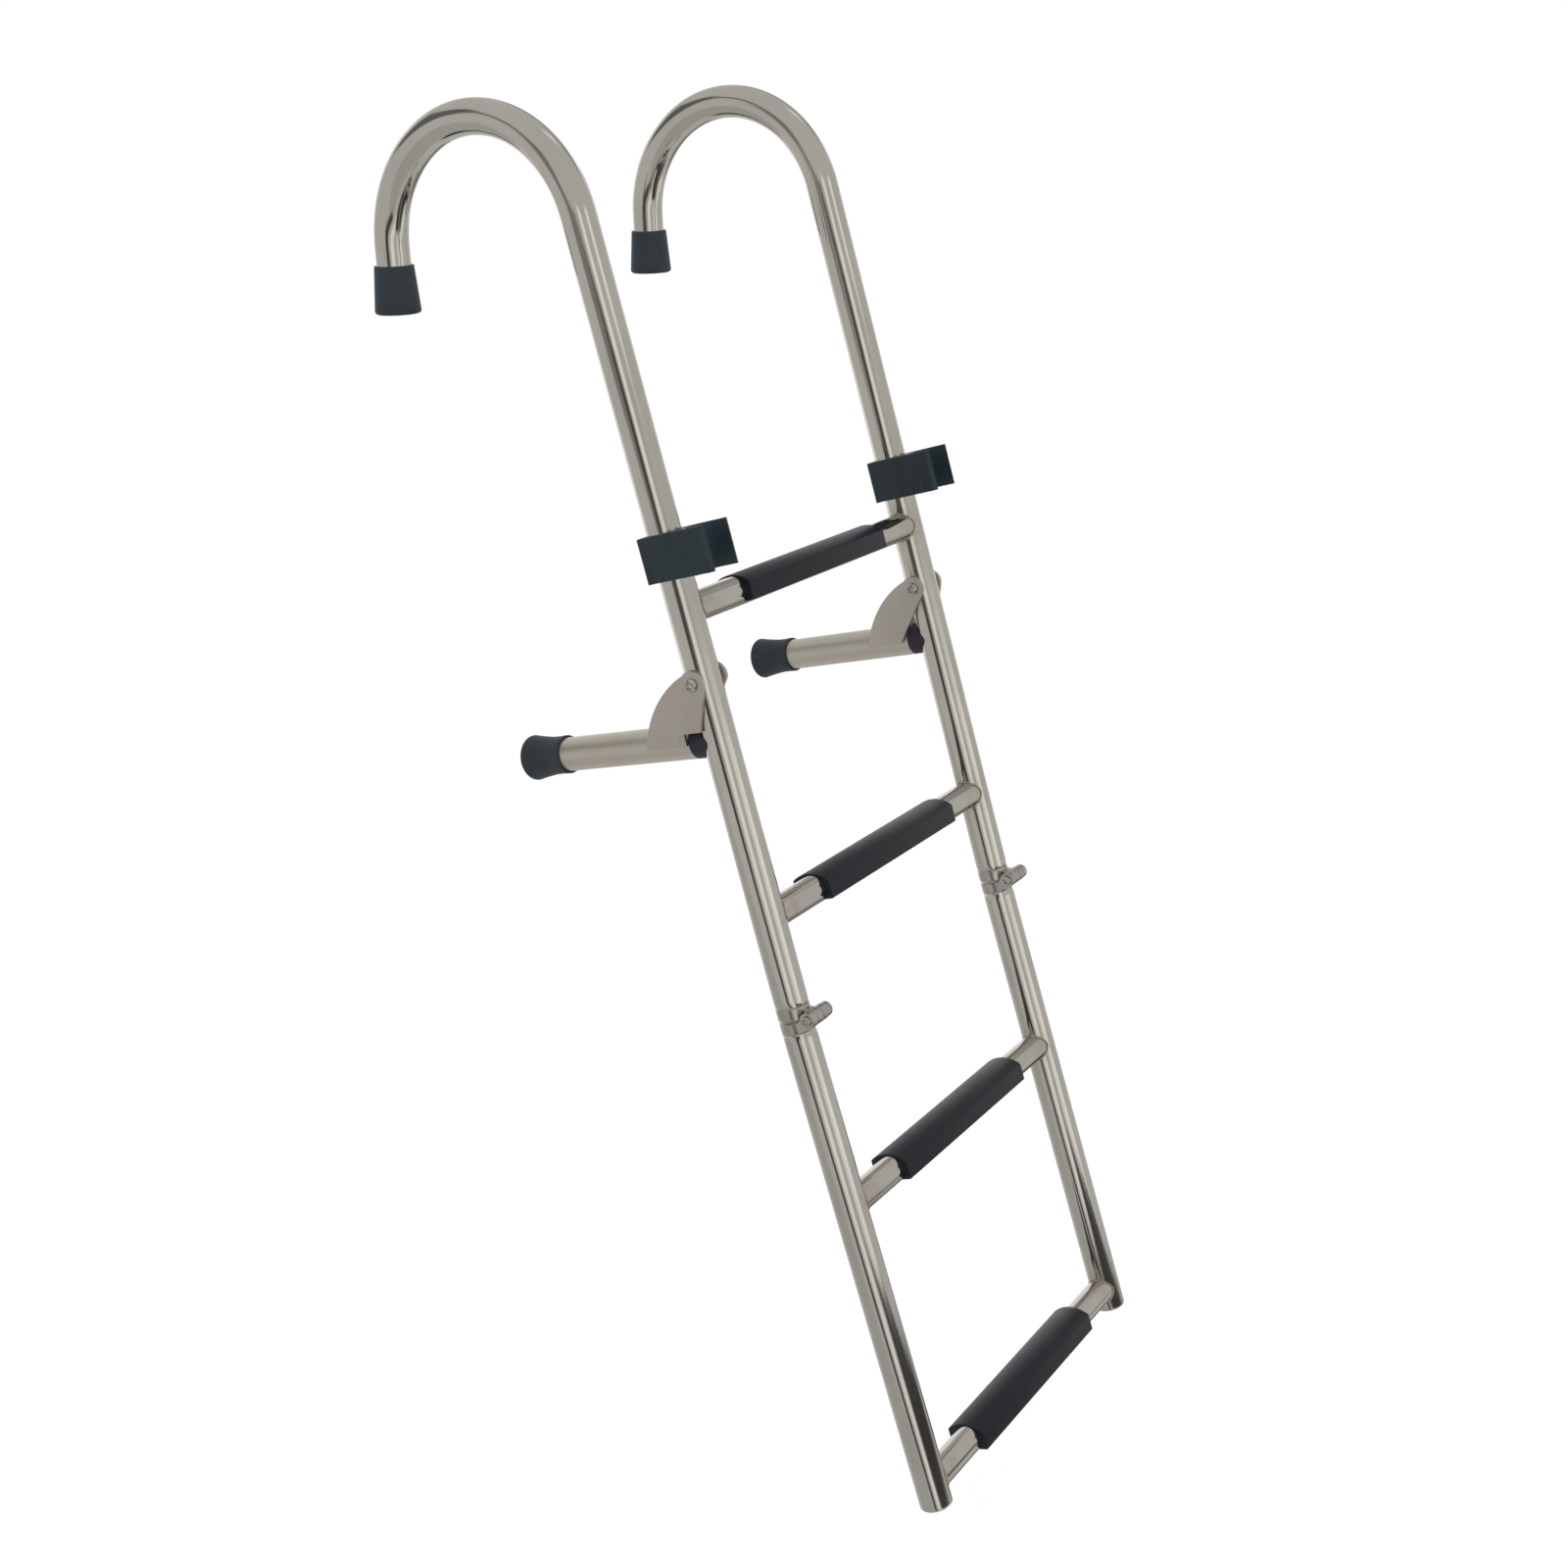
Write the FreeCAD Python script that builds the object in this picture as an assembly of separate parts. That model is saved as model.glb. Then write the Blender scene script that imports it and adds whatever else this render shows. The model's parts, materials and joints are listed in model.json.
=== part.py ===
import FreeCAD, Part
import math
import os

# Folding boat ladder: two hooked stainless rails, four padded steps, a hinge at mid height,
# two fold-up standoffs that rest on the hull, and clips that hold the lower half when folded.
#
# Ladder frame, in which every piece is drawn: X across the ladder, Y towards the boat,
# Z up along the rails, with Z = 0 on the line between the hinge castings.
# The finished pieces are then leaned by the rake, as the ladder hangs in use, with the
# origin midway between the hooks, where their inner crown sits on the gunwale.

# Driving dimensions, millimetres and degrees
RAKE = 15.0
RAIL_OD = 25.4
RAIL_WALL = 1.2
RAIL_SPACING = 309.0
UPPER_RAIL_TOP = 583.0
LOWER_RAIL_BOTTOM = -397.0
HOOK_RADIUS = 89.0
STEP_OD = 22.2
STEP_WALL = 1.2
STEP_PITCH = 228.9
TOP_STEP_HEIGHT = 306.3
THIRD_STEP_HEIGHT = -149.0
STEPS_PER_HALF = 2
WELD_GAP = 0.1
FIT_GAP = 0.1
SWING_GAP = 0.3

TREAD_LENGTH = 188.0
TREAD_CROWN = 1.0
TREAD_FRONT = (15.5, 5.6)
TREAD_BACK = (17.0, 7.5)
TREAD_SKIRT = 8.5
TREAD_TOP_RADIUS = 2.0
TREAD_LIP_RADIUS = 1.5

TIP_START = 12.5
TIP_LENGTH = 34.5
TIP_RIM_OD = 29.0
TIP_END_OD = 34.0
TIP_BOTTOM = 4.0

CLIP_HEIGHT = 32.5
CLIP_ABOVE_STEP = 39.9
CLIP_HALF_WIDTH = 15.6
CLIP_FRONT_REACH = 14.5
CLIP_JAW_REACH = 11.2
CLIP_RIB_RADIUS = 2.4
CLIP_RIB_INSET = 0.8
CLIP_RIBS = 6
CLIP_CORNER = 3.5
CLIP_SLACK = 0.5

PIN_OFFSET = 17.0
PIN_RADIUS = 3.0
HINGE_GAP = 1.4
COLLAR_HEIGHT = 9.0
SPIGOT_LENGTH = 22.0
BARREL_RADIUS = 6.2
LUG_WIDTH = 7.4
EAR_WIDTH = 6.6
RUNNING_GAP = 0.05
EAR_SIDE_GAP = 0.3
SCOOP_GAP = 1.3
PIN_HEAD_RADIUS = 4.2
PIN_HEAD_HEIGHT = 2.0
PIN_NUT_RADIUS = 5.8
PIN_NUT_LENGTH = 6.5
LOWER_LEAN = 1.3

PIVOT_HEIGHT = 255.5
BOLT_RADIUS = 3.0
BOLT_HEAD_RADIUS = 5.0
BOLT_HEAD_HEIGHT = 3.2
NUT_FLATS = 10.0
NUT_HEIGHT = 5.0
PLATE_THICKNESS = 2.5
PLATE_TOP_RADIUS = 10.0
PLATE_REACH = 54.5
PLATE_BULGE = (32.0, -8.0)
OUTER_PLATE_HEEL = 2.0
OUTER_PLATE_NOTCH = (17.5, 9.0)
INNER_PLATE_HEEL = 22.0

STANDOFF_DROP = 43.5
STANDOFF_RISE = 2.0
STANDOFF_OD = 25.4
STANDOFF_WALL = 1.2
STANDOFF_START = 17.5
STANDOFF_REACH = 178.0
SADDLE_PLUG = 15.0
FOOT_LENGTH = 36.5
FOOT_RIM_OD = 28.8
FOOT_NECK_OD = 28.4
FOOT_NECK_END = 13.0
FOOT_END_OD = 34.2
FOOT_FLARE_SAG = 0.3
FOOT_BOTTOM = 5.0

END_CAP_HEIGHT = 3.0
END_CAP_ROUND = 2.0

# Sizes that follow
RAIL_R = RAIL_OD / 2
STEP_R = STEP_OD / 2
STANDOFF_R = STANDOFF_OD / 2
LEFT = -RAIL_SPACING / 2
RIGHT = RAIL_SPACING / 2
SIDES = {"left": LEFT, "right": RIGHT}
COLLAR_TOP = HINGE_GAP / 2 + COLLAR_HEIGHT
CLIP_CENTRE = TOP_STEP_HEIGHT + CLIP_ABOVE_STEP
HOOK_LEG = TIP_START + TIP_LENGTH - TIP_BOTTOM - FIT_GAP
X_AXIS = FreeCAD.Vector(1, 0, 0)
Y_AXIS = FreeCAD.Vector(0, 1, 0)
Z_AXIS = FreeCAD.Vector(0, 0, 1)
pieces = {}


def point(x, y, z):
    return FreeCAD.Vector(x, y, z)


def cylinder(radius, start, direction, length):
    """Cylinder from a start point along a direction."""
    return Part.makeCylinder(radius, length, start, direction)


def block(x0, x1, y0, y1, z0, z1):
    return Part.makeBox(x1 - x0, y1 - y0, z1 - z0, point(x0, y0, z0))


def turned(profile, start, direction):
    """Solid of revolution: profile is (distance along the axis, radius) pairs or arc triples."""
    edges = []
    last = point(profile[0][0], profile[0][1], 0)
    for entry in profile[1:]:
        if len(entry) == 4:
            middle = point(entry[0], entry[1], 0)
            end = point(entry[2], entry[3], 0)
            edges.append(Part.Arc(last, middle, end).toShape())
        else:
            end = point(entry[0], entry[1], 0)
            edges.append(Part.LineSegment(last, end).toShape())
        last = end
    first = point(profile[0][0], profile[0][1], 0)
    if last.distanceToPoint(first) > 1e-6:
        edges.append(Part.LineSegment(last, first).toShape())
    face = Part.Face(Part.Wire(edges))
    solid = face.revolve(point(0, 0, 0), X_AXIS, 360)
    solid.Placement = FreeCAD.Placement(start, FreeCAD.Rotation(X_AXIS, direction))
    return solid


def corner_arc(centre_u, centre_r, radius, start_deg, end_deg):
    """Arc entry for turned(): middle point and end point of a round corner."""
    middle = math.radians((start_deg + end_deg) / 2)
    end = math.radians(end_deg)
    return (
        centre_u + radius * math.cos(middle),
        centre_r + radius * math.sin(middle),
        centre_u + radius * math.cos(end),
        centre_r + radius * math.sin(end),
    )


def pipe(path, radius, direction):
    """Round bar along a path of lines and tangent arcs."""
    start = path.OrderedVertexes[0].Point
    ring = Part.Wire(Part.makeCircle(radius, start, direction))
    return path.makePipeShell([ring], True, False)


def turned_about_x(shape, angle, y, z):
    """Copy turned about an axis along X through (y, z)."""
    copy = shape.copy()
    copy.rotate(point(0, y, z), X_AXIS, angle)
    return copy


def leaned_lower(shape):
    """Lower half at rest: its stop lets it lean a little to the climber's side."""
    return turned_about_x(shape, -LOWER_LEAN, -PIN_OFFSET, 0)


def tilted_standoff(shape):
    return turned_about_x(shape, STANDOFF_RISE, 0, PIVOT_HEIGHT)


# Upper rails, bent over at the top into hooks whose short legs hang plumb in use
def hook_end():
    """Centre of the tube where the bend ends, and the direction of the short leg."""
    flare = math.radians(RAKE)
    end = point(0, HOOK_RADIUS * (1 + math.cos(flare)), UPPER_RAIL_TOP + HOOK_RADIUS * math.sin(flare))
    along = point(0, math.sin(flare), -math.cos(flare))
    return end, along


def rail_path():
    half_turn = math.radians((180 + RAKE) / 2)
    crown = point(
        0,
        HOOK_RADIUS + HOOK_RADIUS * math.cos(half_turn),
        UPPER_RAIL_TOP + HOOK_RADIUS * math.sin(half_turn),
    )
    bend_end, leg = hook_end()
    straight = Part.LineSegment(point(0, 0, COLLAR_TOP), point(0, 0, UPPER_RAIL_TOP))
    bend = Part.Arc(point(0, 0, UPPER_RAIL_TOP), crown, bend_end)
    tail = Part.LineSegment(bend_end, bend_end + leg * HOOK_LEG)
    return Part.Wire([straight.toShape(), bend.toShape(), tail.toShape()])


def upper_rail():
    path = rail_path()
    tube = pipe(path, RAIL_R, Z_AXIS).cut(pipe(path, RAIL_R - RAIL_WALL, Z_AXIS))
    bolt_hole = cylinder(BOLT_RADIUS + RUNNING_GAP, point(-RAIL_OD, 0, PIVOT_HEIGHT), X_AXIS, 2 * RAIL_OD)
    return tube.cut(bolt_hole)


def lower_rail():
    length = -LOWER_RAIL_BOTTOM - COLLAR_TOP - END_CAP_HEIGHT
    top = point(0, 0, -COLLAR_TOP)
    outer = cylinder(RAIL_R, top, -Z_AXIS, length)
    return outer.cut(cylinder(RAIL_R - RAIL_WALL, top, -Z_AXIS, length))


def end_cap():
    """Closed lower end of a rail: a disc with a rounded edge and a plug inside the tube."""
    plug_r = RAIL_R - RAIL_WALL - FIT_GAP / 2
    profile = [
        (-END_CAP_HEIGHT * 2, 0),
        (-END_CAP_HEIGHT * 2, plug_r),
        (0, plug_r),
        (0, RAIL_R),
        (END_CAP_HEIGHT - END_CAP_ROUND, RAIL_R),
        corner_arc(END_CAP_HEIGHT - END_CAP_ROUND, RAIL_R - END_CAP_ROUND, END_CAP_ROUND, 90, 0),
        (END_CAP_HEIGHT, 0),
    ]
    return turned(profile, point(0, 0, LOWER_RAIL_BOTTOM + END_CAP_HEIGHT), -Z_AXIS)


# Rubber tips on the short legs of the hooks
def hook_tip():
    bore = RAIL_R + FIT_GAP
    end_r = TIP_END_OD / 2
    edge = 2.5
    profile = [
        (0, bore),
        (0, TIP_RIM_OD / 2),
        (TIP_LENGTH - edge, end_r),
        corner_arc(TIP_LENGTH - edge, end_r - edge, edge, 90, 0),
        (TIP_LENGTH, 0),
        (TIP_LENGTH - TIP_BOTTOM, 0),
        (TIP_LENGTH - TIP_BOTTOM, bore),
    ]
    bend_end, leg = hook_end()
    return turned(profile, bend_end + leg * TIP_START, leg)


# Steps: tubes coped to the rails, each with a moulded tread snapped over it
def step_tube(height):
    start = point(LEFT, 0, height)
    tube = cylinder(STEP_R, start, X_AXIS, RAIL_SPACING)
    tube = tube.cut(cylinder(STEP_R - STEP_WALL, start, X_AXIS, RAIL_SPACING))
    for x in SIDES.values():
        tube = tube.cut(cylinder(RAIL_R + WELD_GAP, point(x, 0, height - RAIL_OD), Z_AXIS, 2 * RAIL_OD))
    return tube


def long_edges(body, low, high):
    """Edges along a tread whose height lies between two levels."""
    found = []
    for edge in body.Edges:
        box = edge.BoundBox
        if box.XLength > TREAD_LENGTH / 2 and low < box.ZMin and box.ZMax < high:
            found.append(edge)
    return found


def tread(height):
    """Moulded sleeve with an arched standing face, split below where it snaps over the tube."""
    x0 = -TREAD_LENGTH / 2
    front, front_height = TREAD_FRONT
    back, back_height = TREAD_BACK
    front_top = point(x0, -front, front_height)
    back_top = point(x0, back, back_height)
    front_low = point(x0, -front, -TREAD_SKIRT)
    back_low = point(x0, back, -TREAD_SKIRT)
    outline = Part.Wire([
        Part.Arc(front_top, point(x0, 0, STEP_R + TREAD_CROWN), back_top).toShape(),
        Part.LineSegment(back_top, back_low).toShape(),
        Part.LineSegment(back_low, front_low).toShape(),
        Part.LineSegment(front_low, front_top).toShape(),
    ])
    body = Part.Face(outline).extrude(point(TREAD_LENGTH, 0, 0))
    body = body.makeFillet(TREAD_TOP_RADIUS, long_edges(body, 0, STEP_R))
    body = body.makeFillet(TREAD_LIP_RADIUS, long_edges(body, -STEP_R, -TREAD_SKIRT / 2))
    body = body.cut(cylinder(STEP_R + FIT_GAP, point(x0, 0, 0), X_AXIS, TREAD_LENGTH))
    body.translate(point(0, 0, height))
    return body


# Clips: a closed sleeve round the upper rail, and behind it open jaws for the folded lower rail
def rail_clip():
    folded_y = -2 * PIN_OFFSET
    front = CLIP_FRONT_REACH
    rear = folded_y - CLIP_JAW_REACH
    z0 = CLIP_CENTRE - CLIP_HEIGHT / 2
    body = block(-CLIP_HALF_WIDTH, CLIP_HALF_WIDTH, rear, front, z0, z0 + CLIP_HEIGHT)
    uprights = []
    for edge in body.Edges:
        if edge.BoundBox.ZLength > CLIP_HEIGHT / 2:
            uprights.append(edge)
    body = body.makeFillet(CLIP_CORNER, uprights)
    pitch = (front - rear - 2 * CLIP_CORNER) / (CLIP_RIBS - 1)
    for side in (-1, 1):
        for rib in range(CLIP_RIBS):
            y = rear + CLIP_CORNER + rib * pitch
            base = point(side * (CLIP_HALF_WIDTH - CLIP_RIB_INSET), y, z0)
            body = body.fuse(cylinder(CLIP_RIB_RADIUS, base, Z_AXIS, CLIP_HEIGHT))
    wide = RAIL_R + CLIP_SLACK
    body = body.cut(cylinder(RAIL_R + FIT_GAP, point(0, 0, z0), Z_AXIS, CLIP_HEIGHT))
    body = body.cut(cylinder(wide, point(0, folded_y, z0), Z_AXIS, CLIP_HEIGHT))
    mouth = block(-wide, wide, rear - CLIP_RIB_RADIUS, folded_y, z0, z0 + CLIP_HEIGHT)
    return body.cut(mouth).removeSplitter()


# Hinge castings: a collar flush with the rail, a spigot inside it, and knuckles behind it
def knuckle(x0, x1, sign):
    """Barrel round the pin, joined to the collar above (sign 1) or below it (sign -1)."""
    barrel = cylinder(BARREL_RADIUS, point(x0, -PIN_OFFSET, 0), X_AXIS, x1 - x0)
    root = point(x0, -RAIL_R * 0.4, sign * COLLAR_TOP)
    centre = point(x0, -PIN_OFFSET, 0)
    reach = root.distanceToPoint(centre)
    slope = math.atan2(root.z - centre.z, root.y - centre.y)
    spread = math.acos(BARREL_RADIUS / reach)
    touch_angle = slope + sign * spread
    touch = point(
        x0,
        centre.y + BARREL_RADIUS * math.cos(touch_angle),
        centre.z + BARREL_RADIUS * math.sin(touch_angle),
    )
    inner = point(x0, root.y, 0)
    web = Part.Face(Part.makePolygon([centre, touch, root, inner, centre]))
    return barrel.fuse(web.extrude(point(x1 - x0, 0, 0)))


def casting_body(sign):
    """Collar and spigot of a casting, standing on the hinge line."""
    low = HINGE_GAP / 2
    collar = cylinder(RAIL_R, point(0, 0, sign * low), Z_AXIS * sign, COLLAR_HEIGHT)
    spigot_r = RAIL_R - RAIL_WALL - FIT_GAP / 2
    spigot = cylinder(spigot_r, point(0, 0, sign * low), Z_AXIS * sign, COLLAR_HEIGHT + SPIGOT_LENGTH)
    return collar.fuse(spigot)


def scoop(x0, x1):
    """Room round the pin for the other casting's knuckle."""
    radius = BARREL_RADIUS + SCOOP_GAP
    return cylinder(radius, point(x0, -PIN_OFFSET, 0), X_AXIS, x1 - x0)


def pin_hole():
    reach = LUG_WIDTH + EAR_WIDTH + RAIL_OD
    return cylinder(PIN_RADIUS + RUNNING_GAP, point(-reach / 2, -PIN_OFFSET, 0), X_AXIS, reach)


def ear_spans():
    inner = LUG_WIDTH / 2 + EAR_SIDE_GAP
    return [(-inner - EAR_WIDTH, -inner), (inner, inner + EAR_WIDTH)]


def hinge_upper():
    body = casting_body(1)
    for x0, x1 in ear_spans():
        body = body.cut(scoop(x0 - EAR_SIDE_GAP, x1 + EAR_SIDE_GAP))
    lug = knuckle(-LUG_WIDTH / 2, LUG_WIDTH / 2, 1)
    below = block(-RAIL_OD, RAIL_OD, -RAIL_R, RAIL_OD, -RAIL_OD, HINGE_GAP / 2)
    lug = lug.cut(below.cut(scoop(-RAIL_OD, RAIL_OD)))
    return body.fuse(lug).cut(pin_hole()).removeSplitter()


def hinge_lower():
    body = casting_body(-1).cut(scoop(-LUG_WIDTH / 2 - EAR_SIDE_GAP, LUG_WIDTH / 2 + EAR_SIDE_GAP))
    for x0, x1 in ear_spans():
        body = body.fuse(knuckle(x0, x1, -1))
    body = leaned_lower(body)
    above = block(-RAIL_OD, RAIL_OD, -RAIL_R, RAIL_OD, -HINGE_GAP / 2, RAIL_OD)
    body = body.cut(above.cut(scoop(-RAIL_OD, RAIL_OD)))
    return body.cut(pin_hole()).removeSplitter()


def hinge_pin():
    """Pin with a low head on one end and a round cap nut on the other."""
    span = ear_spans()[1][1] + SWING_GAP / 3
    dome = 2.0
    profile = [
        (-span - PIN_HEAD_HEIGHT, 0),
        (-span - PIN_HEAD_HEIGHT, PIN_HEAD_RADIUS - 1),
        corner_arc(-span - PIN_HEAD_HEIGHT + 1, PIN_HEAD_RADIUS - 1, 1, 180, 90),
        (-span, PIN_HEAD_RADIUS),
        (-span, PIN_RADIUS),
        (span, PIN_RADIUS),
        (span, PIN_NUT_RADIUS),
        (span + PIN_NUT_LENGTH - dome, PIN_NUT_RADIUS),
        corner_arc(span + PIN_NUT_LENGTH - dome, PIN_NUT_RADIUS - dome, dome, 90, 0),
        (span + PIN_NUT_LENGTH, 0),
    ]
    return turned(profile, point(0, -PIN_OFFSET, 0), X_AXIS)


# Standoffs: a tube with a rubber foot, welded between two bracket plates that swing on a bolt
def bracket_plate(heel, x0):
    """Plate from the pivot down to the side of the standoff tube, with a full bulged front.

    heel is the lower rear outline: (forward, up from the tube's axis) pairs from front to back."""
    top = PLATE_TOP_RADIUS
    front_angle = math.radians(48)
    rear_angle = math.radians(195)
    low = -STANDOFF_DROP
    front = point(x0, top * math.cos(front_angle), top * math.sin(front_angle))
    rear = point(x0, top * math.cos(rear_angle), top * math.sin(rear_angle))
    nose = point(x0, PLATE_REACH, low)
    edges = [
        Part.Arc(rear, point(x0, 0, top), front).toShape(),
        Part.Arc(front, point(x0, PLATE_BULGE[0], PLATE_BULGE[1]), nose).toShape(),
    ]
    last = nose
    for y, up in heel:
        corner = point(x0, y, low + up)
        edges.append(Part.LineSegment(last, corner).toShape())
        last = corner
    edges.append(Part.LineSegment(last, rear).toShape())
    plate = Part.Face(Part.Wire(edges)).extrude(point(PLATE_THICKNESS, 0, 0))
    hole = cylinder(BOLT_RADIUS + RUNNING_GAP, point(x0 - 1, 0, 0), X_AXIS, PLATE_THICKNESS + 2)
    plate = plate.cut(hole)
    plate.translate(point(0, 0, PIVOT_HEIGHT))
    return tilted_standoff(plate)


def plate_start():
    return RAIL_R + SWING_GAP


def standoff_axis_point(y):
    return point(0, y, PIVOT_HEIGHT - STANDOFF_DROP)


def standoff_tube():
    length = STANDOFF_REACH - FOOT_BOTTOM - STANDOFF_START
    start = standoff_axis_point(STANDOFF_START)
    tube = cylinder(STANDOFF_R, start, Y_AXIS, length)
    tube = tube.cut(cylinder(STANDOFF_R - STANDOFF_WALL, start, Y_AXIS, length))
    return tilted_standoff(tube)


def standoff_saddle():
    """Plug in the inner end of the tube, hollowed to sit against the front of the rail."""
    head = cylinder(STANDOFF_R, standoff_axis_point(0), Y_AXIS, STANDOFF_START)
    plug_r = STANDOFF_R - STANDOFF_WALL - FIT_GAP / 2
    plug = cylinder(plug_r, standoff_axis_point(0), Y_AXIS, STANDOFF_START + SADDLE_PLUG)
    body = tilted_standoff(head.fuse(plug))
    seat = cylinder(RAIL_R + SWING_GAP, point(0, 0, PIVOT_HEIGHT - 3 * RAIL_OD), Z_AXIS, 3 * RAIL_OD)
    return body.cut(seat)


def standoff_foot():
    bore = STANDOFF_R + FIT_GAP
    rim = FOOT_RIM_OD / 2
    neck = FOOT_NECK_OD / 2
    end_r = FOOT_END_OD / 2
    rim_width = 4.0
    edge = 3.0
    flare_middle = (FOOT_NECK_END + FOOT_LENGTH - edge) / 2
    flare_radius = (neck + end_r) / 2 - FOOT_FLARE_SAG
    profile = [
        (0, bore),
        (0, rim),
        (rim_width, rim),
        (rim_width + 1, neck),
        (FOOT_NECK_END, neck),
        (flare_middle, flare_radius, FOOT_LENGTH - edge, end_r),
        corner_arc(FOOT_LENGTH - edge, end_r - edge, edge, 90, 0),
        (FOOT_LENGTH, 0),
        (FOOT_LENGTH - FOOT_BOTTOM, 0),
        (FOOT_LENGTH - FOOT_BOTTOM, bore),
    ]
    foot = turned(profile, standoff_axis_point(STANDOFF_REACH - FOOT_LENGTH), Y_AXIS)
    return tilted_standoff(foot)


def pivot_bolt():
    """Round-headed bolt through both plates and the rail."""
    seat = plate_start() + PLATE_THICKNESS + FIT_GAP
    end = seat + NUT_HEIGHT
    bulge = BOLT_HEAD_RADIUS * 0.75
    profile = [
        (-seat - BOLT_HEAD_HEIGHT, 0),
        (-seat - BOLT_HEAD_HEIGHT * 0.8, bulge, -seat, BOLT_HEAD_RADIUS),
        (-seat, BOLT_RADIUS),
        (end, BOLT_RADIUS),
        (end, 0),
    ]
    return turned(profile, point(0, 0, PIVOT_HEIGHT), X_AXIS)


def pivot_nut():
    """Acorn nut: a hexagon with a domed cap over the end of the bolt."""
    seat = plate_start() + PLATE_THICKNESS + FIT_GAP
    corners = []
    for corner in range(7):
        angle = math.radians(60 * corner + 30)
        radius = NUT_FLATS / 2 / math.cos(math.radians(30))
        corners.append(point(seat, radius * math.cos(angle), PIVOT_HEIGHT + radius * math.sin(angle)))
    hexagon = Part.Face(Part.makePolygon(corners)).extrude(point(NUT_HEIGHT, 0, 0))
    dome_r = NUT_FLATS / 2 - 0.4
    dome = turned(
        [(NUT_HEIGHT, 0), (NUT_HEIGHT, dome_r), corner_arc(NUT_HEIGHT, 0, dome_r, 90, 0)],
        point(seat, 0, PIVOT_HEIGHT),
        X_AXIS,
    )
    body = hexagon.fuse(dome)
    thread = cylinder(BOLT_RADIUS + RUNNING_GAP, point(seat, 0, PIVOT_HEIGHT), X_AXIS, NUT_HEIGHT)
    return body.cut(thread).removeSplitter()


# Assembly in the ladder frame
for side, x in SIDES.items():
    inward = 1 if x < 0 else -1
    outer_x = x - inward * plate_start() - (PLATE_THICKNESS if inward > 0 else 0)
    inner_x = x + inward * plate_start() - (PLATE_THICKNESS if inward < 0 else 0)
    own = {
        "upper_rail": upper_rail(),
        "hook_tip": hook_tip(),
        "rail_clip": rail_clip(),
        "hinge_upper": hinge_upper(),
        "hinge_pin": hinge_pin(),
        "pivot_bolt": pivot_bolt(),
        "pivot_nut": pivot_nut(),
        "standoff_tube": standoff_tube(),
        "standoff_saddle": standoff_saddle(),
        "standoff_foot": standoff_foot(),
        "hinge_lower": hinge_lower(),
        "lower_rail": leaned_lower(lower_rail()),
        "rail_end_cap": leaned_lower(end_cap()),
    }
    for name, shape in own.items():
        shape.translate(point(x, 0, 0))
        pieces[name + "_" + side] = shape
    notch_y, notch_height = OUTER_PLATE_NOTCH
    outer_heel = [(notch_y, 0), (notch_y, notch_height), (OUTER_PLATE_HEEL, notch_height)]
    pieces["standoff_outer_plate_" + side] = bracket_plate(outer_heel, outer_x)
    pieces["standoff_inner_plate_" + side] = bracket_plate([(INNER_PLATE_HEEL, 0)], inner_x)

for number in range(1, 2 * STEPS_PER_HALF + 1):
    lower = number > STEPS_PER_HALF
    if lower:
        height = THIRD_STEP_HEIGHT - (number - 1 - STEPS_PER_HALF) * STEP_PITCH
    else:
        height = TOP_STEP_HEIGHT - (number - 1) * STEP_PITCH
    tube = step_tube(height)
    pad = tread(height)
    if lower:
        tube = leaned_lower(tube)
        pad = leaned_lower(pad)
    pieces["step_%d_tube" % number] = tube
    pieces["step_%d_tread" % number] = pad

# Hang the ladder at its rake, with the origin on the gunwale under the middle of the hooks
hook_centre = point(0, HOOK_RADIUS, UPPER_RAIL_TOP)
to_centre = FreeCAD.Placement(-hook_centre, FreeCAD.Rotation())
lean = FreeCAD.Placement(point(0, 0, -(HOOK_RADIUS - RAIL_R)), FreeCAD.Rotation(X_AXIS, -RAKE))
in_use = lean.multiply(to_centre)

os.makedirs("parts", exist_ok=True)
for name, shape in pieces.items():
    placed = shape.copy()
    placed.Placement = in_use.multiply(placed.Placement)
    if len(placed.Solids) != 1 or not placed.isValid():
        print("check", name, len(placed.Solids), placed.isValid())
    placed.Solids[0].exportStep("parts/" + name + ".step")
print(len(pieces), "pieces written")
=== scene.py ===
import json
import math

import bmesh
import bpy
from mathutils import Euler, Matrix, Vector


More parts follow.
